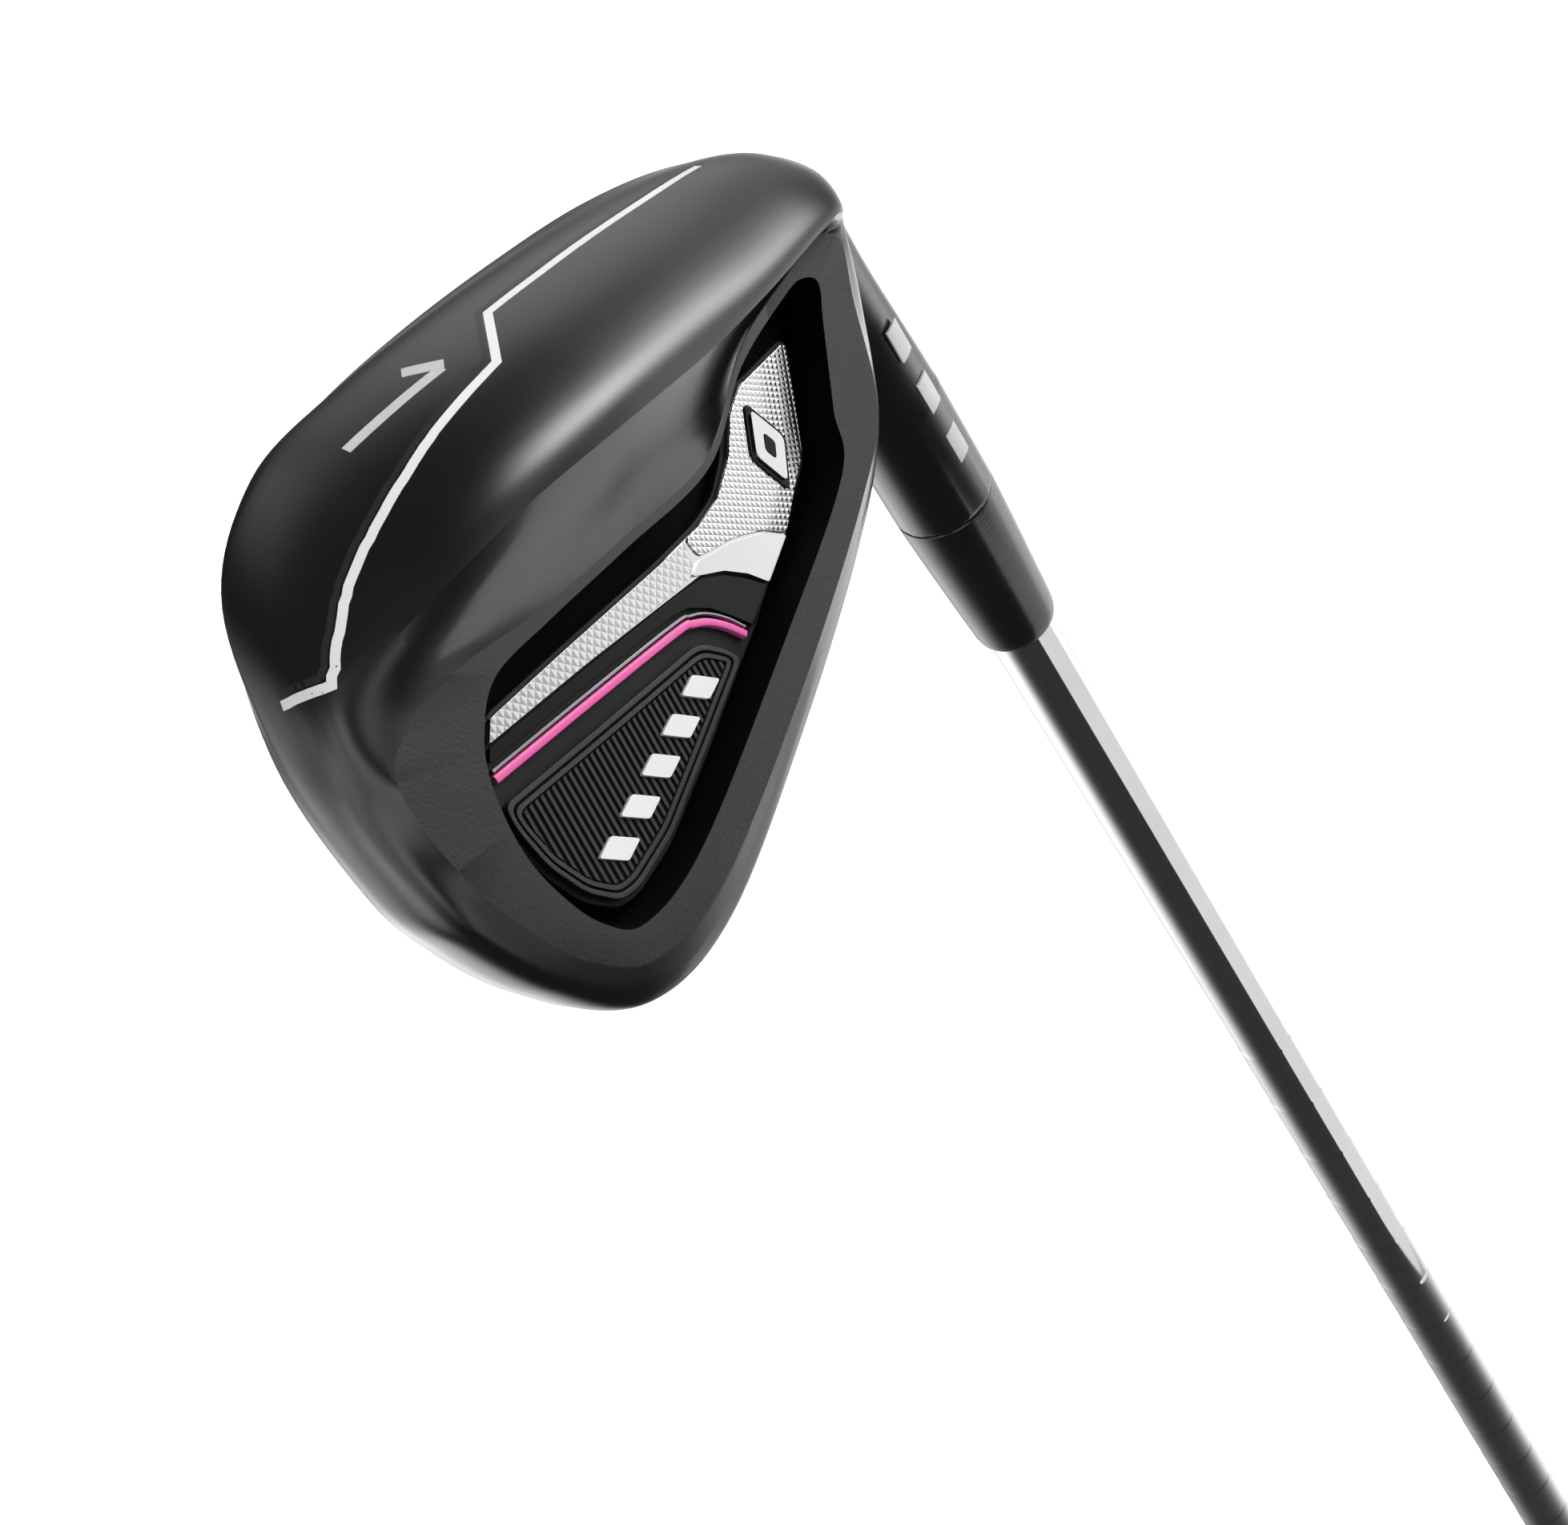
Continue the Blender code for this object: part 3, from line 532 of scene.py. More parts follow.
# How deep the scoop above the sole's ridge is at each station.
SCOOP = (0, 0.3, 0.9, 1.3, 1.4, 1.3, 0.9, 0.3, 0, 0, 0, 0, 0, 0, 0, 0, 0, 0, 0)
SCOOP_BIAS = 0.8  # below 1 the scoop is deepest nearer to the ridge
FIRST_GLOSS, LAST_GLOSS = 2.35, 6.9  # the stations between which the rim is glossy
COLUMN_SPANS = 10
SECTION_SPANS = 6
RIM_SHOULDER = 3.0  # the wall's draft ends this far below the rim
BLADE_CREASE = 24  # degrees
BLADE_BEVEL = 0.22
FACE_PLATE = (
    (14, 5.5), (30, 6.4), (45, 8.4), (60, 11), (71, 14.5), (79.5, 21), (83.5, 29.5), (84.4, 39),
    (82, 47.5), (77.5, 53.5), (71, 57), (62, 56.6), (45, 49.2), (30, 42.2), (18, 36.4), (14, 31.5),
)
FACE_CENTRE = Vector((48, 28))
FACE_SEAT = 1.6
POCKET_DRAFT = 0.7


def on_outline(direction, outline, centre):
    """Where a ray from the centre leaves a closed outline."""
    best = None
    for i in range(len(outline)):
        a, b = Vector(outline[i - 1]) - centre, Vector(outline[i]) - centre
        edge = b - a
        across = direction.x * edge.y - direction.y * edge.x
        if abs(across) < 1e-9:
            continue
        along = (a.x * edge.y - a.y * edge.x) / across
        share = (a.x * direction.y - a.y * direction.x) / across
        if along > 0 and -1e-6 <= share <= 1 + 1e-6 and (best is None or along < best):
            best = along
    return centre + direction * best


def blade_sections():
    """The outside curve and the rim's inner edge of each column, as head points."""
    lines = []
    for face, front, middle, back, rim, inner in STATIONS:
        lines.append([on_face(*face), front, middle, back, on_plane(*rim, RIM), on_plane(*inner, RIM)])
    fine = [spline(list(line), COLUMN_SPANS, closed=True) for line in zip(*lines)]
    depths = spline([(depth, 0, 0) for depth in SCOOP], COLUMN_SPANS, closed=True)
    sections = []
    for i in range(len(fine[0])):
        key = [line[i] for line in fine[:5]]
        curve = spline(key, SECTION_SPANS, closed=False)
        depth = max(depths[i].x, 0)
        ridge = (len(key) - 2) * SECTION_SPANS
        for step in range(SECTION_SPANS):
            bulge = math.sin(math.pi * (step / SECTION_SPANS) ** SCOOP_BIAS)
            curve[ridge + step] = curve[ridge + step] - BACK_NORMAL * depth * bulge
        sections.append((curve, fine[5][i]))
    return sections


def face_seat(sections):
    """Where each column meets the face plate's outline."""
    found = []
    for curve, _ in sections:
        edge = Vector((curve[0].x, curve[0].z))
        found.append(on_outline(edge - FACE_CENTRE, FACE_PLATE, FACE_CENTRE))
    return found


def blade_rings(sections):
    """Rings round the blade, and which of them is the rim's outer edge."""
    seat = face_seat(sections)
    rings = [[on_face(p.x, p.y, FACE_SEAT) for p in seat], [on_face(p.x, p.y) for p in seat]]
    for step in range(len(sections[0][0])):
        rings.append([curve[step] for curve, _ in sections])
    rim_ring = len(rings) - 1
    rings.append([inner for _, inner in sections])
    floor = inset([(inner.x, inner.z) for _, inner in sections], POCKET_DRAFT)
    rings.append([on_plane(x, z, RIM, -RIM_SHOULDER) for x, z in floor])
    rings.append([on_plane(x, z, RIM, CAVITY_FLOOR - RIM) for x, z in floor])
    return rings, rim_ring


def make_blade():
    """The blade, glossy outside, with a matte rim and a black pocket whose walls are painted darker as
    shade.
    """
    sections = blade_sections()
    rings, rim_ring = blade_rings(sections)
    mesh = loft([[row(*point) for point in ring] for ring in rings])
    mesh.faces.ensure_lookup_table()
    first, last = FIRST_GLOSS * COLUMN_SPANS, LAST_GLOSS * COLUMN_SPANS
    gloss, matte, wall = range(3)
    for index, face in enumerate(mesh.faces):
        ring, column = divmod(index, len(sections))
        if ring == rim_ring:
            face.material_index = gloss if first < column < last else matte
        # the pocket's walls and floor take the black with painted shade
        elif ring > rim_ring:
            face.material_index = wall
    finishes = [FINISH["gloss"], FINISH["matte"], FINISH["wall"]]
    blade = publish("blade", mesh, finishes, ["head_body"], BLADE_CREASE)
    add_bevel(blade, BLADE_BEVEL, 3, BLADE_CREASE)
    return blade


# Heights along the shaft axis, from the ground point.
HOSEL_TOP = 64.0
HOSEL_RADIUS = 6.85
SHOULDER = 46.0  # where the hosel starts to narrow
HOSEL = (
    (HOSEL_RADIUS, HOSEL_TOP), (HOSEL_RADIUS, SHOULDER), (6.2, 28), (6.2, 16.5), (5.2, 13.5),
    (3.6, 12), (2.2, 11.5),
)
HOSEL_SIDES = 64
NECK_CENTRES = (Vector((-9.2, 0, 17.7)), Vector((8, -13.2, 18.4)))
NECK_HALVES = ((9.5, 14.7), (5.8, 4.4))  # long and thin half-widths, at the hosel and at the blade
NECK_SWEEP = 1.4  # how late the neck turns back towards the blade
NECK_RINGS = 24
NECK_SIDES = 48
NECK_VOXEL = 0.45
NECK_SMOOTHINGS = 30
HOSEL_END = 0.3  # the flat end's rounding, which the trueing leaves alone
HOSEL_INSIDE = 5.0  # nearer the axis than this a point isn't on the outside


def neck_rings():
    """The web that carries the blade: it starts inside the hosel and ends inside the heel."""
    lean = (LOFT + BACK_LEAN) / 2
    start, end = NECK_CENTRES
    rings = []
    for step in range(NECK_RINGS):
        t = step / (NECK_RINGS - 1)
        centre = start.lerp(end, t)
        centre.y = end.y * t**NECK_SWEEP
        tilt = (math.pi / 2 - LIE) * (1 - t)
        long_half, thin_half = (low + (high - low) * t for low, high in NECK_HALVES)
        long_axis = Vector((-math.sin(tilt), -math.sin(lean * t), math.cos(tilt) * math.cos(lean * t)))
        thin_axis = Vector((0, math.cos(lean * t), math.sin(lean * t)))
        ring = []
        for turn in turns(NECK_SIDES):
            point = centre + long_axis * long_half * math.cos(turn) + thin_axis * thin_half * math.sin(turn)
            ring.append(row(*point))
        rings.append(ring)
    return rings


def neck_web():
    """The web as an object for a Boolean."""
    web = loft(neck_rings())
    bmesh.ops.recalc_face_normals(web, faces=web.faces)
    data = bpy.data.meshes.new("neck")
    web.to_mesh(data)
    web.free()
    made = bpy.data.objects.new("neck", data)
    bpy.context.scene.collection.objects.link(made)
    return made


def melted(piece, web):
    """The mesh of both as one skin of small even faces."""
    union = piece.modifiers.new("Union", "BOOLEAN")
    union.operation = "UNION"
    union.object = web
    remesh = piece.modifiers.new("Remesh", "REMESH")
    remesh.mode = "VOXEL"
    remesh.voxel_size = NECK_VOXEL * MM
    graph = bpy.context.evaluated_depsgraph_get()
    data = bpy.data.meshes.new_from_object(piece.evaluated_get(graph))
    piece.modifiers.clear()
    bpy.data.objects.remove(web)
    return data


def smooth_below_shoulder(mesh):
    """Smooths the neck, and makes the hosel above it truly round again."""
    shoulder = (CLUB_LENGTH - SHOULDER) * MM
    low = [vertex for vertex in mesh.verts if vertex.co.z > shoulder]
    for _ in range(NECK_SMOOTHINGS):
        bmesh.ops.smooth_vert(mesh, verts=low, factor=0.5, use_axis_x=True, use_axis_y=True, use_axis_z=True)
    end = (CLUB_LENGTH - HOSEL_TOP) * MM
    for vertex in mesh.verts:
        if end + HOSEL_END * MM < vertex.co.z <= shoulder:
            reach = math.hypot(vertex.co.x, vertex.co.y)
            if reach > HOSEL_INSIDE * MM:
                vertex.co.x *= HOSEL_RADIUS * MM / reach
                vertex.co.y *= HOSEL_RADIUS * MM / reach


def make_neck():
    """The hosel and the web to the blade, melted into one smooth form."""
    profile = spline([(radius, height, 0) for radius, height in HOSEL], 4, closed=False)
    rings = []
    for point in profile:
        rings.append([round_axis(point.x, turn, CLUB_LENGTH - point.y) for turn in turns(HOSEL_SIDES)])
    piece = publish("hosel_and_neck", loft(rings), [FINISH["gloss"]], (), 40)
    mesh = bmesh.new()
    mesh.from_mesh(melted(piece, neck_web()))
    smooth_below_shoulder(mesh)
    mesh.to_mesh(piece.data)
    mesh.free()
    piece.data.materials.clear()
    piece.data.materials.append(FINISH["gloss"])
    piece.data.shade_smooth()


blade = make_blade()
make_neck()

# ---------------------------------------------------------------- paint on the head

# Lines under the sole, as head points near its surface.
STRIPE = (
    (12.8, -7.6, 1.5), (21.5, -8.6, 1.4), (31.5, -9.8, 2), (41.5, -10.9, 3.2),
    (49.5, -11.6, 4), (55.3, -17.7, 6), (65.5, -19, 8), (76.5, -20.9, 11.5),
    (81.5, -21.7, 14.5), (85.5, -23, 19), (87.1, -23.3, 22), (89.5, -17.4, 24.5),
)
NUMBER_STEM = ((58.7, -14.1, 5), (71.1, -13.3, 8))
NUMBER_BAR = ((58.1, -13.8, 5), (60.9, -11, 5))
STRIPE_WIDTH = 0.9
STRIPE_SHOULDER_WIDTH = 0.6
STRIPE_SHOULDER_OFFSET = -0.95
STRIPE_SPACING = 1.0
STEM_WIDTH = 1.1
BAR_WIDTH = 1.5
NUMBER_SPACING = 0.8
PAINT_ROOT = -0.2  # paint starts under the surface
PAINT_TOP = 0.03
SHOULDER_TOP = 0.02
BAR_TOP = 0.035


def surface_of(piece):
    """The piece's mesh, ready for finding the nearest place on it."""
    mesh = bmesh.new()
    mesh.from_mesh(piece.data)
    tree = BVHTree.FromBMesh(mesh)
    mesh.free()
    return tree


def resampled(path, spacing):
    """The same open path with extra points, no further apart than this."""
    found = []
    for start, end in zip(path, path[1:]):
        start, end = Vector(start), Vector(end)
        pieces = max(1, math.ceil((end - start).length / spacing))
        found += [start.lerp(end, i / pieces) for i in range(pieces)]
    return found + [Vector(path[-1])]


def mitre(back, ahead):
    """How much wider a strip is across a corner between two directions."""
    if back.length < 0.5 or ahead.length < 0.5:
        return 1.0
    return 1 / max(math.sqrt((1 + back.dot(ahead)) / 2), 0.5)


def ribbon(surface, path, width, low, high, offset=0.0):
    """A strip that follows the surface, from `low` to `high` above it, in millimetres."""
    found = [surface.find_nearest(row(*point))[:2] for point in path]
    rings = []
    for i, (hit, normal) in enumerate(found):
        before, after = found[max(i - 1, 0)][0], found[min(i + 1, len(found) - 1)][0]
        back, ahead = (hit - before).normalized(), (after - hit).normalized()
        along = back + ahead
        stretch = mitre(back, ahead)
        across = normal.cross(along).normalized() * width / 2 * MM * stretch
        shift = normal.cross(along).normalized() * offset * MM * stretch
        ring = []
        for side, level in ((1, low), (-1, low), (-1, high), (1, high)):
            onto, up = surface.find_nearest(hit + shift + across * side)[:2]
            ring.append(onto + up * level * MM)
        rings.append(ring)
    return loft(rings)


def make_paint(surface):
    """The stripe with the faint line beside it, and the number."""
    stripe = resampled(STRIPE, STRIPE_SPACING)
    stem, bar = resampled(NUMBER_STEM, NUMBER_SPACING), resampled(NUMBER_BAR, NUMBER_SPACING)
    paint = ribbon(surface, stripe, STRIPE_WIDTH, PAINT_ROOT, PAINT_TOP)
    publish("stripe_paint", paint, [FINISH["white"]], ["sole_stripe"])
    width, offset = STRIPE_SHOULDER_WIDTH, STRIPE_SHOULDER_OFFSET
    shoulder = ribbon(surface, stripe, width, PAINT_ROOT, SHOULDER_TOP, offset)
    publish("stripe_shoulder", shoulder, [FINISH["ghost"]])
    upright = ribbon(surface, stem, STEM_WIDTH, PAINT_ROOT, PAINT_TOP)
    publish("number_stem", upright, [FINISH["stamp"]], ["sole_number"])
    level = ribbon(surface, bar, BAR_WIDTH, PAINT_ROOT, BAR_TOP)
    publish("number_bar", level, [FINISH["stamp"]], ["sole_number"])


DASHES = 3
DASH_TURN = math.radians(-83)
DASH_ANGLE = math.radians(22)
DASH_STEPS = 12
DASH_START = 33.0
DASH_PITCH = 9.0
DASH_LENGTH = 5
DASH_RADII = (6.6, 6.89)


def make_hosel_dashes():
    """Short painted dashes up the hosel, each a curved pad."""
    inner, outer = DASH_RADII
    for i in range(DASHES):
        start = CLUB_LENGTH - DASH_START - i * DASH_PITCH
        end = start - DASH_LENGTH
        rings = []
        for step in range(DASH_STEPS + 1):
            turn = DASH_TURN + DASH_ANGLE * (step / DASH_STEPS - 0.5)
            section = ((inner, start), (outer, start), (outer, end), (inner, end))
            rings.append([round_axis(radius, turn, z) for radius, z in section])
        dash = loft(rings)
        publish(f"hosel_dash_{i + 1}", dash, [FINISH["stamp"]], [f"hosel_mark_{i + 1}"])


make_paint(surface_of(blade))
make_hosel_dashes()

# ---------------------------------------------------------------- badge

BADGE = (
    (14.6, 18.4), (24.5, 20.1), (27.6, 22), (30.6, 25.2), (34, 27.6), (38, 28.8), (45, 29.9),
    (60, 31.6), (71.4, 33), (73.6, 35.2), (75, 38), (75.6, 42), (74.5, 46.6), (72.2, 50.4),
    (69, 52.7), (66, 52.7), (60, 51), (50, 46.2), (41, 41.5), (37.6, 39.9), (32.5, 36.9),
    (23, 31.2), (20, 29.3), (14.2, 19.4),
)
CHROME_UPPER = (
    (15.4, 18.9), (23.8, 20.3), (26.8, 22), (30, 25.4), (34, 28), (38, 29.2), (40.5, 29.6),
    (40, 31.6), (35, 31.8), (31, 32.6), (28, 34.1), (23.6, 30.8), (20.6, 28.8), (15.1, 19.6),
)
CHROME_STRIP = (
    (40.8, 29.7), (45, 30.3), (60, 32), (71.3, 33.4), (72.8, 35.1), (60, 34.1), (46, 33.1),
    (42.4, 32.8), (41.2, 31.9),
)
CHROME_BEVEL = (
    (28.2, 34.2), (31.2, 32.8), (35.2, 32), (40.4, 31.8), (42, 32.7), (41, 33), (38, 33.8),
    (35.4, 35.2), (33.4, 36.9),
)
CHROME_CORNER = ((41, 33), (38, 33.8), (35.4, 35.2), (33.4, 36.8))
CHROME_BACKING = CHROME_UPPER[:7] + CHROME_STRIP[1:6] + CHROME_CORNER + CHROME_UPPER[-4:]
GLOSS_BAR = (
    (33.8, 37), (35.8, 35.5), (38.3, 34.1), (41.2, 33.3), (46, 33.4), (60, 34.4), (73, 35.4),
    (73.8, 36.4), (60, 35.4), (47, 34.6), (44.4, 34.8), (41.9, 35.9), (39.5, 37.9), (37.9, 39.4),
)
ACCENT_LINE = ((39.5, 39.6), (41.2, 38), (43.1, 36.8), (45, 36.2), (47, 36), (60, 36.8), (74.2, 37.8))
SILVER_LINE = ((39.1, 39), (40.7, 37.4), (42.7, 36.1), (44.7, 35.5), (47, 35.3), (60, 36.1), (74, 37.1))
RIB_PANEL = (
    (41.7, 41.1), (43, 39.6), (45.1, 38.2), (46.6, 37.9), (60, 38.9), (74.9, 39.9), (75, 42.2),
    (74, 46.2), (71.8, 49.8), (68.9, 52), (66.3, 52), (60, 50.1), (50.3, 45.4),
)

EMBLEM = ((24.6, 22.6), (27, 26.6), (24.8, 30.2), (22.2, 26.4))

# Each plate: its name, outline, corner radius, levels, finish, slot, replaced nodes and bevel.
CHROME_NODE = ["badge_chrome_plate"]
PLATES = (
    ("badge_body", BADGE, 1.2, (5.5, 6.7), "badge", "black_badge", ["badge_base"], 0.25),
    ("chrome_backing", CHROME_BACKING, 0.3, (6.8, 7.2), "mirror", "bright_chrome", CHROME_NODE, 0.05),
    ("chrome_upper", CHROME_UPPER, 0.7, (7.15, 7.4), "square", "bright_chrome", CHROME_NODE, 0.15),
    ("chrome_strip", CHROME_STRIP, 0.4, (7.15, 7.37), "diamond", "bright_chrome", CHROME_NODE, 0.12),
    ("chrome_bevel", CHROME_BEVEL, 0.3, (7.15, 7.45), "mirror", "bright_chrome", CHROME_NODE, 0.2),
    ("gloss_bar", GLOSS_BAR, 0.3, (6.8, 7.35), "bar", "gloss_black", ["badge_gloss_bar"], 0.2),
)
EMBLEM_PLATES = (
    ("emblem_border", inset(EMBLEM, -0.45), 0.9, (7.36, 7.6), "bar", "gloss_black", (), 0.08),
    ("emblem_lozenge", EMBLEM, 0.8, (7.42, 7.9), "mirror", "bright_chrome", ["badge_emblem"], 0.25),
    ("emblem_heart", inset(EMBLEM, 1.3), 0.4, (7.8, 7.98), "bar", "gloss_black", (), 0.06),
)
# Each strip: its name, path, width, top, finish, slot and replaced node.
STRIPS = (
    ("silver_pinstripe", SILVER_LINE, 0.34, 7.45, "silver", "silver_line", "badge_silver_line"),
    ("pink_strip", ACCENT_LINE, 0.75, 7.55, "pink", "pink_accent", "badge_accent_strip"),
)
STRIP_FOOT = 6.8


def make_plates(plates):
    for name, outline, radius, levels, finish, slot, nodes, bevel in plates:
        plate(name, rounded(outline, radius), levels, FINISH[finish], nodes, bevel)


make_plates(PLATES)
for name, path, width, top, finish, slot, replaced in STRIPS:
    crowned(name, flowing(path), width, STRIP_FOOT, top, FINISH[finish], [replaced])
make_plates(EMBLEM_PLATES)


def clip(outline, x0, x1):
    """The stretch of an outline's top and bottom between two x values, as a four-sided strip."""
    found = []
    for x in (x0, x1):
        heights = []
        for i in range(len(outline)):
            a, b = outline[i - 1], outline[i]
            if min(a[0], b[0]) <= x < max(a[0], b[0]):
                heights.append(a[1] + (b[1] - a[1]) * (x - a[0]) / (b[0] - a[0]))
        if len(heights) < 2:
            return None
        found.append((x, min(heights), max(heights)))
    (xa, la, ha), (xb, lb, hb) = found
    return [(xa, la), (xb, lb), (xb, hb), (xa, ha)]


RIB_EDGE = 1.35  # from the panel's outline to the ribs' own
RIB_CORNER = 0.8
RIB_FLOOR = (6.8, 7.15)
RIB_LEVELS = (7.05, 7.55)
RIB_MARGINS = (0.35, 0.3)
RIB_WIDTH = 0.36
RIB_PITCH = 0.8
RIB_BEVEL = 0.08


def make_ribs():
    """The panel's floor with upright ribs on it, one mesh."""
    inner = rounded(inset(RIB_PANEL, RIB_EDGE), RIB_CORNER)
    outlines = [(inner, *RIB_FLOOR)]
    x = min(point[0] for point in inner) + RIB_MARGINS[0]
    last = max(point[0] for point in inner) - RIB_MARGINS[1]
    while x < last:
        strip = clip(inner, x, x + RIB_WIDTH)
        if strip:
            outlines.append((strip, *RIB_LEVELS))
        x += RIB_PITCH
    mesh = bmesh.new()
    for outline, low, high in outlines:
        rows = []
        for level in (low, high):
            rows.append([mesh.verts.new(row(*on_back(px, pz, level))) for px, pz in outline])
        for i in range(len(outline)):
            j = (i + 1) % len(outline)
            mesh.faces.new((rows[0][i], rows[0][j], rows[1][j], rows[1][i]))
        mesh.faces.new(rows[0][::-1])
        mesh.faces.new(rows[1])
    piece = publish("ribs", mesh, [FINISH["rib"]], ["badge_rib_panel"])
    add_bevel(piece, RIB_BEVEL)


# Each line round the ribs: its name, distance from the panel's outline, width and top.
RIB_FRAMES = (("rib_frame_outer", 0.0, 0.5, 7.6), ("rib_frame_inner", 0.75, 0.42, 7.55))
RIB_FRAME_CORNERS = (1.0, 0.9)  # outside and inside
RIB_FRAME_FOOT = 6.8
RIB_FRAME_BEVEL = 0.1


def make_frame():
    """Two raised lines round the ribs."""
    for name, edge, width, top in RIB_FRAMES:
        outer = rounded(inset(RIB_PANEL, edge), RIB_FRAME_CORNERS[0])
        inside = rounded(inset(RIB_PANEL, edge + width), RIB_FRAME_CORNERS[1])
        section = ((inside, RIB_FRAME_FOOT), (outer, RIB_FRAME_FOOT), (outer, top), (inside, top))
        rings = [[row(*on_back(x, z, level)) for x, z in outline] for outline, level in section]
        piece = publish(name, tube(rings), [FINISH["frame"]], ["badge_rib_frame"])
        add_bevel(piece, RIB_FRAME_BEVEL)


MARKS = 5
MARK_LINE = ((66.4, 48.3), (48.4, 41.1))  # first and last mark's centre
MARK_HALF = 1.3
MARK_CORNER = 0.35
MARK_LEVELS = (7.5, 7.95)
MARK_BEVEL = 0.08


def make_marks():
    """Slanted white bars along the panel."""
    first, last = Vector(MARK_LINE[0]), Vector(MARK_LINE[1])
    (x0, z0), (x1, z1) = MARK_LINE
    along = Vector((x1 - x0, z1 - z0)).normalized()
    up = Vector((along.y, -along.x))
    up = up if up.y > 0 else -up
    for i in range(MARKS):
        centre = first.lerp(last, i / (MARKS - 1))
        corners = []
        for sideways, upright in ((-1, -1), (1, -1), (1, 1), (-1, 1)):
            shift = along * (sideways * MARK_HALF + upright)
            corners.append(tuple(centre + shift + up * upright * MARK_HALF))
        outline = rounded(corners, MARK_CORNER)
        name, replaced = f"white_bar_{i + 1}", [f"badge_mark_{i + 1}"]
        plate(name, outline, MARK_LEVELS, FINISH["white"], replaced, MARK_BEVEL)


make_ribs()
make_frame()
make_marks()

# ---------------------------------------------------------------- ferrule, shaft, grip

ROUND_SIDES = 128
FERRULE_LENGTH = 26.4
FERRULE_BORE = 4.8
FERRULE_CHAMFER = ((6.7, 0), (6.83, 0.15))
FERRULE_LIP = 1.0
FERRULE_END_RADIUS = 5.75
FERRULE_TAPER = 1.2
FERRULE_STEPS = 15
FERRULE_STRAIGHT = 0.93  # the share of the length before the end's rounding
FERRULE_ROUNDING = 1.2
ROUNDING_STEPS = 8
FERRULE_SINK = 0.05
FERRULE_GAP = 0.1


def make_ferrule():
    """The tapered collar, with a small chamfer at the hosel and a rounded end."""
    start = CLUB_LENGTH - HOSEL_TOP - FERRULE_GAP
    end = CLUB_LENGTH - HOSEL_TOP - FERRULE_LENGTH
    profile = [(FERRULE_BORE, start)]
    for radius, depth in FERRULE_CHAMFER:
        profile.append((radius, start - depth))
    for step in range(1, FERRULE_STEPS + 1):
        t = FERRULE_STRAIGHT * step / FERRULE_STEPS
        radius = HOSEL_RADIUS + (FERRULE_END_RADIUS - HOSEL_RADIUS) * t**FERRULE_TAPER
        profile.append((radius, start + (end - start) * t))
    for step in range(1, ROUNDING_STEPS):
        turn = math.pi / 2 * step / ROUNDING_STEPS
        radius = FERRULE_END_RADIUS - FERRULE_ROUNDING + FERRULE_ROUNDING * math.cos(turn) - FERRULE_SINK
        profile.append((radius, end + FERRULE_ROUNDING * (1 - math.sin(turn))))
    profile += [(FERRULE_END_RADIUS - FERRULE_LIP, end), (FERRULE_BORE, end)]
    turned("ferrule_body", profile, FINISH["ferrule"], ["ferrule"])


TIP_RADIUS = 4.7
TIP_BORE = 3.9
TIP_DEPTH = 31  # how far the shaft reaches into the hosel
FIRST_STEP = 115
STEPS = 23
STEP_PITCH = 19
STEP_LENGTH = 1.5
STEP_RISE = 0.1
STEP_CURVE = ((0, 0), (0.25, 0.15), (0.5, 0.5), (0.75, 0.85), (1, 1))  # length against rise
BUTT = 4.1
BUTT_BORE = 6.3


def make_shaft():
    """The stepped tube."""
    top = CLUB_LENGTH - HOSEL_TOP + TIP_DEPTH
    first = CLUB_LENGTH - HOSEL_TOP - FERRULE_LENGTH - FIRST_STEP
    profile = [(TIP_BORE, top), (TIP_RADIUS, top)]
    radius = TIP_RADIUS
    for step in range(STEPS):
        z = first - step * STEP_PITCH
        for share, rise in STEP_CURVE:
            profile.append((radius + STEP_RISE * rise, z - STEP_LENGTH * share))
        radius += STEP_RISE
    last = first - (STEPS - 1) * STEP_PITCH
    profile += [(radius, BUTT), (BUTT_BORE, BUTT), (BUTT_BORE, last), (TIP_BORE, first)]
    turned("shaft_tube", profile, FINISH["shaft"], ["shaft"])


GRIP_LENGTH = 268
GRIP_SIDES = 144
GRIP_SPACING = 0.9
GRIP_RADII = (8.7, 13.0)  # at the mouth and at the butt
GRIP_TAPER = 1.5
GRIP_MOUTH = ((7.9, 268), (8.3, 267.9), (8.6, 267.4), (8.7, 266.5))
GRIP_BUTT = ((12.98, 5), (12.9, 3.4), (12.6, 2.2), (12, 1.2), (11.2, 0.5), (10.2, 0.1), (9.6, 0))
GRIP_HOLLOW = ((2.4, 0), (2.4, 4), (7.45, 4), (7.45, 268))
GRIP_BODY = (6, 266.0)  # between the butt's rounding and the mouth's
PATTERN = (18, 250)  # where the diamonds start and end
PATTERN_OUTSIDE = 8  # smaller radii are the bore
PATTERN_FADE = 4
PATTERN_TURNS = 6
PATTERN_PITCH = 5.5
GROOVE_DEPTH = 0.35
GROOVE_SHARPNESS = 5


def grip_radius(z):
    low, high = GRIP_RADII
    t = min(max(1 - z / GRIP_LENGTH, 0), 1)
    return low + (high - low) * t**GRIP_TAPER


def groove_depth(turn, z):
    """How deep the diamond pattern is at this place of the grip."""
    start, end = PATTERN
    fade = min(1, (z - start) / PATTERN_FADE, (end - z) / PATTERN_FADE)
    across, along = turn * PATTERN_TURNS, z / PATTERN_PITCH * math.pi
    wave = math.cos(across * 2 + along) * math.cos(across * 2 - along)
    return GROOVE_DEPTH * max(0, 1 - abs(wave) * GROOVE_SHARPNESS) * fade


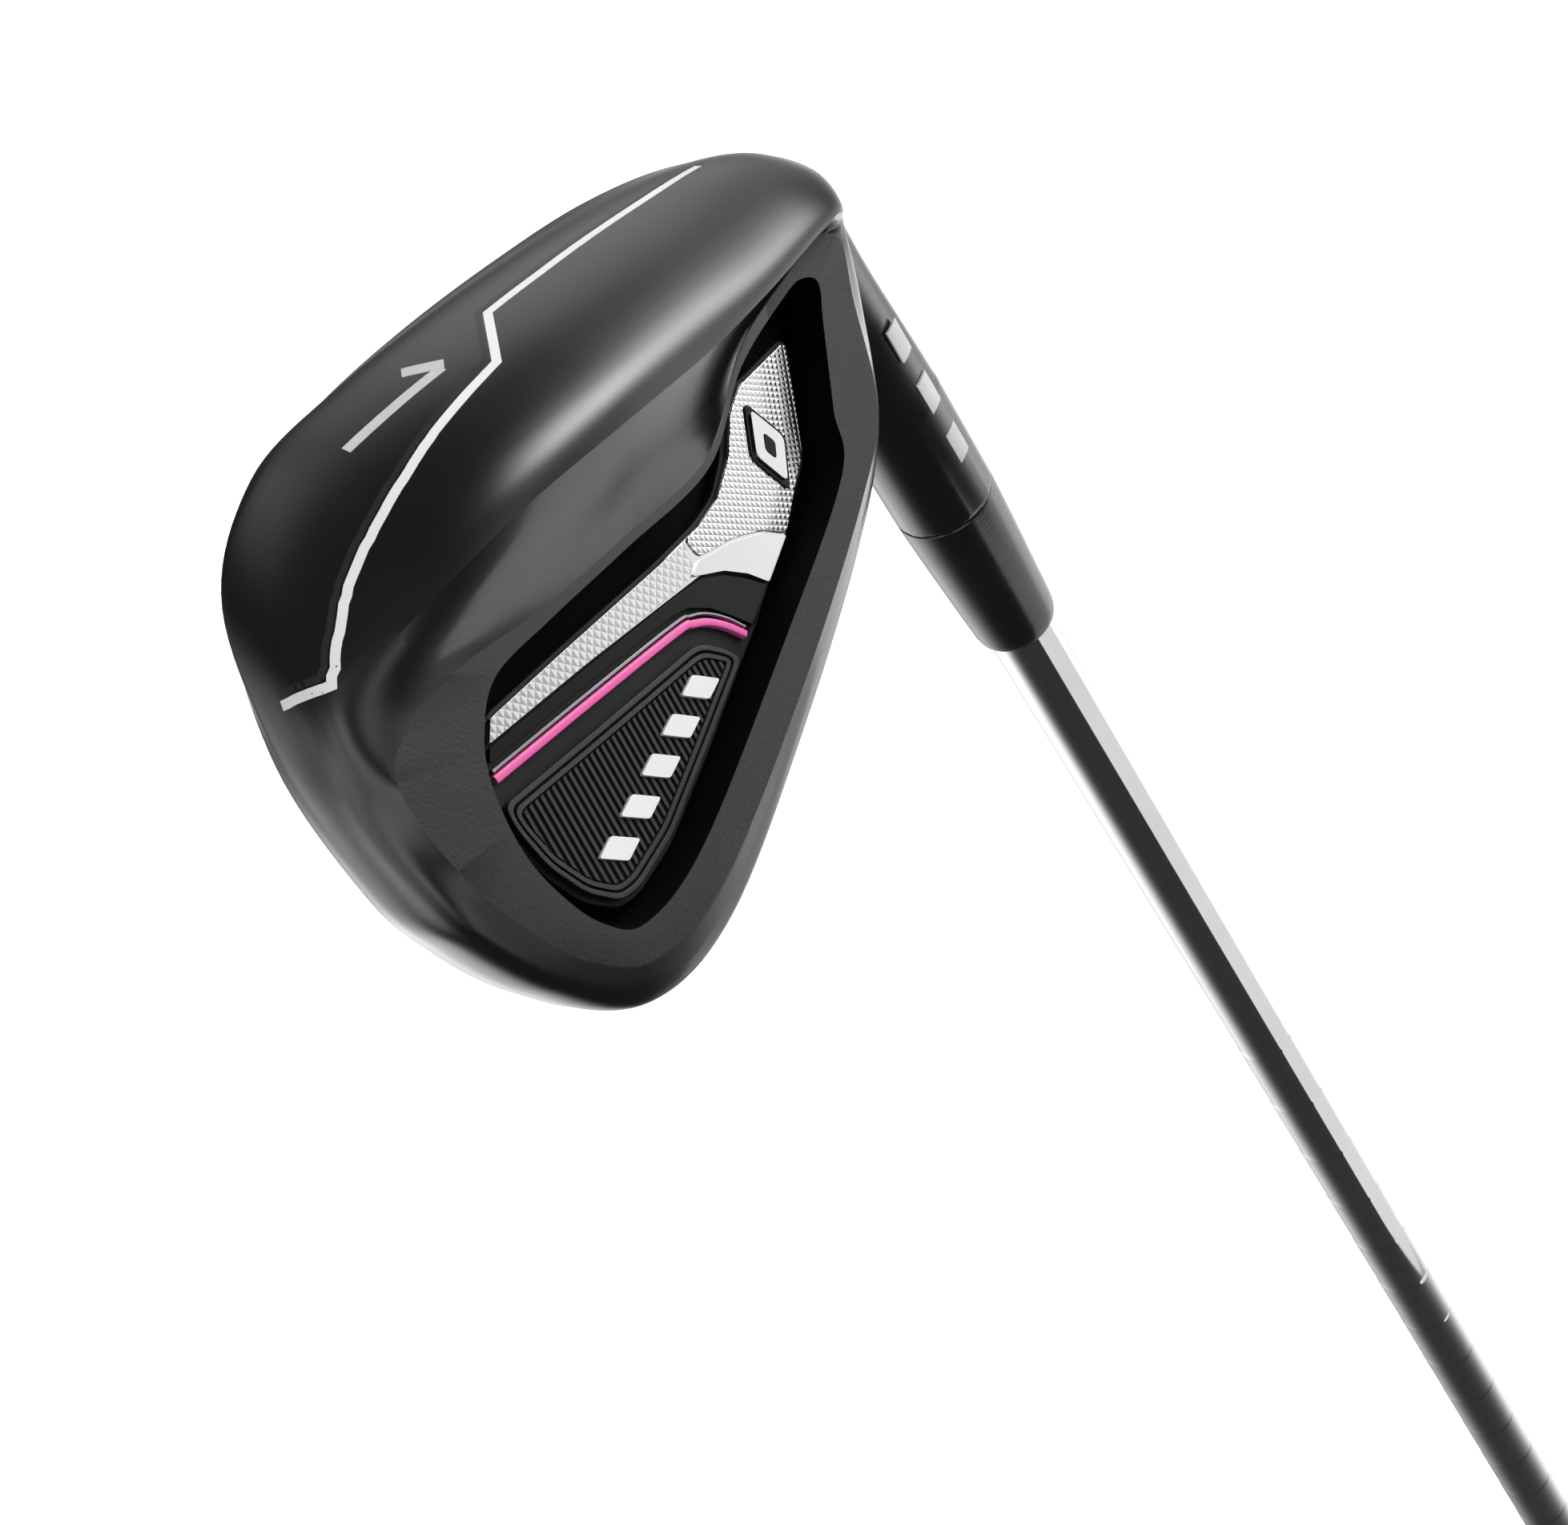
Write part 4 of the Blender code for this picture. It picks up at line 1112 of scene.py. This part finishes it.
def make_grip():
    """A moulded grip with a diamond pattern pressed into it."""
    outer = list(GRIP_MOUTH)
    z = GRIP_BODY[1]
    while z > GRIP_BODY[0]:
        outer.append((grip_radius(z), z))
        z -= GRIP_SPACING
    profile = [*outer, *GRIP_BUTT, *GRIP_HOLLOW]
    rings = []
    for turn in turns(GRIP_SIDES):
        ring = []
        for radius, z in profile:
            if PATTERN[0] < z < PATTERN[1] and radius > PATTERN_OUTSIDE:
                radius -= groove_depth(turn, z)
            ring.append(round_axis(radius, turn, z))
        rings.append(ring)
    publish("grip_rubber_body", tube(rings), [FINISH["grip"]], ["grip"], 40)


make_ferrule()
make_shaft()
make_grip()

# ---------------------------------------------------------------- carried-over nodes

CARRIED = {
    "face_plate": "face",
    "badge_tape": "foam",
    "hosel_epoxy": "epoxy",
    "tip_weight": "brass",
    "grip_tape": "tape",
}
for name, finish in CARRIED.items():
    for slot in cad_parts[name].material_slots:
        slot.material = FINISH[finish]

# ---------------------------------------------------------------- floor, light and camera

# The camera's view and down directions and its place, in the head's own coordinates.
FORWARD = Vector((-0.6515, 0.6038, 0.4592))
DOWN = Vector((0.4593, -0.1678, 0.8723))
RIGHT = DOWN.cross(FORWARD)
CAMERA_AT = Vector((197.1, -174.4, -57.3))
SENSOR = 36.0
LENS = 55.16
CLIP = (0.01, 50)
FILL_BREADTH = 70


def facing(right, down, forward):
    """A rotation whose view is along forward with down below."""
    right, down, forward = (turn_row(axis).normalized() for axis in (right, down, forward))
    up, back = -down, -forward
    return Matrix((right, up, back)).transposed()


def add_fill(name, azimuth, elevation, power):
    """A broad light for the paint, which the glossy plating doesn't mirror."""
    data = bpy.data.lights.new(name, "SUN")
    data.angle = math.radians(FILL_BREADTH)
    data.energy = power
    made = bpy.data.objects.new(name, data)
    bpy.context.scene.collection.objects.link(made)
    made.rotation_euler = studio_direction(azimuth, elevation).to_track_quat("Z", "Y").to_euler()
    made.visible_glossy = False


def make_camera():
    data = bpy.data.cameras.new("camera")
    data.lens = LENS
    data.sensor_width = SENSOR
    data.clip_start, data.clip_end = CLIP
    made = bpy.data.objects.new("camera", data)
    bpy.context.scene.collection.objects.link(made)
    turn = facing(RIGHT, DOWN, FORWARD)
    made.matrix_world = Matrix.Translation(row(*CAMERA_AT)) @ turn.to_4x4()
    bpy.context.scene.camera = made


# Soft lights round the head: azimuth and elevation in degrees as seen from it, with azimuth 0
# towards the camera's first place and elevation along its up axis, then narrowness and strength.
LIGHTS = (
    (-159, -21, 22, 1.8), (-141, -41, 22, 1.6), (-106, -28, 22, 1.6), (-65, -42, 22, 1.9),
    (-33, -24, 22, 0.9), (-2, -11, 22, 1.1), (52, 8, 22, 0.55), (45, -17, 30, 0.4),
    (56, 52, 34, 5.5), (83, 54, 24, 2.2), (104, 58, 24, 3.0), (112, 12, 22, 1.5),
    (86, 22, 40, 0.7), (134, 2, 14, 1.3), (146, -17, 22, 0.5), (-172, 52, 22, 0.5),
    (-145, 66, 22, 0.6), (-85, 48, 22, 0.5), (168, 8, 18, 1.2),
)
DIM = 0.045  # the world's strength between the lights


def studio_direction(azimuth, elevation):
    """The row direction towards a light given by its two angles."""
    azimuth, elevation = math.radians(azimuth), math.radians(elevation)
    level = RIGHT * math.sin(azimuth) - FORWARD * math.cos(azimuth)
    return turn_row(level * math.cos(elevation) - DOWN * math.sin(elevation)).normalized()


def glow(tree, direction, azimuth, elevation, narrowness, strength):
    """One soft light of the world: strongest in the middle, fading smoothly round it."""
    towards = node(tree, "ShaderNodeVectorMath", operation="DOT_PRODUCT")
    tree.links.new(direction, towards.inputs[0])
    towards.inputs[1].default_value = studio_direction(azimuth, elevation)
    fade = node(tree, "ShaderNodeMath", operation="MULTIPLY_ADD")
    tree.links.new(towards.outputs["Value"], fade.inputs[0])
    fade.inputs[1].default_value = narrowness
    fade.inputs[2].default_value = -narrowness
    power = node(tree, "ShaderNodeMath", operation="EXPONENT")
    tree.links.new(fade.outputs[0], power.inputs[0])
    scaled = node(tree, "ShaderNodeMath", operation="MULTIPLY")
    tree.links.new(power.outputs[0], scaled.inputs[0])
    scaled.inputs[1].default_value = strength
    return scaled.outputs[0]


def make_world():
    world = bpy.data.worlds.new("studio")
    world.use_nodes = True
    tree = world.node_tree
    direction = node(tree, "ShaderNodeTexCoord").outputs["Generated"]
    total = None
    for light in LIGHTS:
        value = glow(tree, direction, *light)
        both = node(tree, "ShaderNodeMath", operation="ADD")
        tree.links.new(value, both.inputs[0])
        if total is None:
            both.inputs[1].default_value = DIM
        else:
            tree.links.new(total, both.inputs[1])
        total = both.outputs[0]
    background = tree.nodes["Background"]
    background.inputs["Color"].default_value = (1, 1, 1, 1)
    tree.links.new(total, background.inputs["Strength"])
    bpy.context.scene.world = world


FLOOR_HALF = 6
FLOOR_HEIGHT = -0.002
BACKDROP_RADIUS = 9
STAGE_WHITE = (0.9, 0.9, 0.9)
CARD_CENTRE = Vector((0.05, -0.11, 0.57))
CARD_ACROSS = Vector((0.922, 0.386, 0)) * 0.08
CARD_ALONG = Vector((0, 0, 0.165))
CARD_GLOW = 0.42


def stage_surface(name, mesh, height, glow_strength=0.95):
    """A plain pale surface of the studio, seen by the camera alone unless changed afterwards."""
    data = bpy.data.meshes.new(name)
    mesh.to_mesh(data)
    mesh.free()
    made, tree, shader = new_material(name + "_white", STAGE_WHITE, 0.8)
    shader.inputs["Emission Color"].default_value = (1, 1, 1, 1)
    shader.inputs["Emission Strength"].default_value = glow_strength
    data.materials.append(made)
    surface = bpy.data.objects.new(name, data)
    surface.location.z = height
    bpy.context.scene.collection.objects.link(surface)
    surface.visible_glossy = False
    surface.visible_diffuse = False
    surface.visible_transmission = False
    surface.visible_shadow = False
    return surface


def make_shaft_card():
    """A white card beside the shaft, seen only as its reflection."""
    low, high = CARD_CENTRE - CARD_ALONG, CARD_CENTRE + CARD_ALONG
    corners = (low - CARD_ACROSS, low + CARD_ACROSS, high + CARD_ACROSS, high - CARD_ACROSS)
    mesh = bmesh.new()
    mesh.faces.new([mesh.verts.new(corner) for corner in corners])
    card = stage_surface("shaft_card", mesh, 0, CARD_GLOW)
    card.visible_camera = False
    card.visible_glossy = True


def make_stage():
    """The floor, and a backdrop all round beyond it."""
    mesh = bmesh.new()
    bmesh.ops.create_grid(mesh, x_segments=8, y_segments=8, size=FLOOR_HALF)
    stage_surface("floor", mesh, FLOOR_HEIGHT)
    mesh = bmesh.new()
    bmesh.ops.create_icosphere(mesh, subdivisions=4, radius=BACKDROP_RADIUS)
    stage_surface("backdrop", mesh, 0)


bpy.context.scene.view_settings.view_transform = "Standard"
make_camera()
make_stage()
make_shaft_card()
make_world()
add_fill("fill_left", -60, 25, 0.8)
add_fill("fill_right", 50, 30, 0.75)
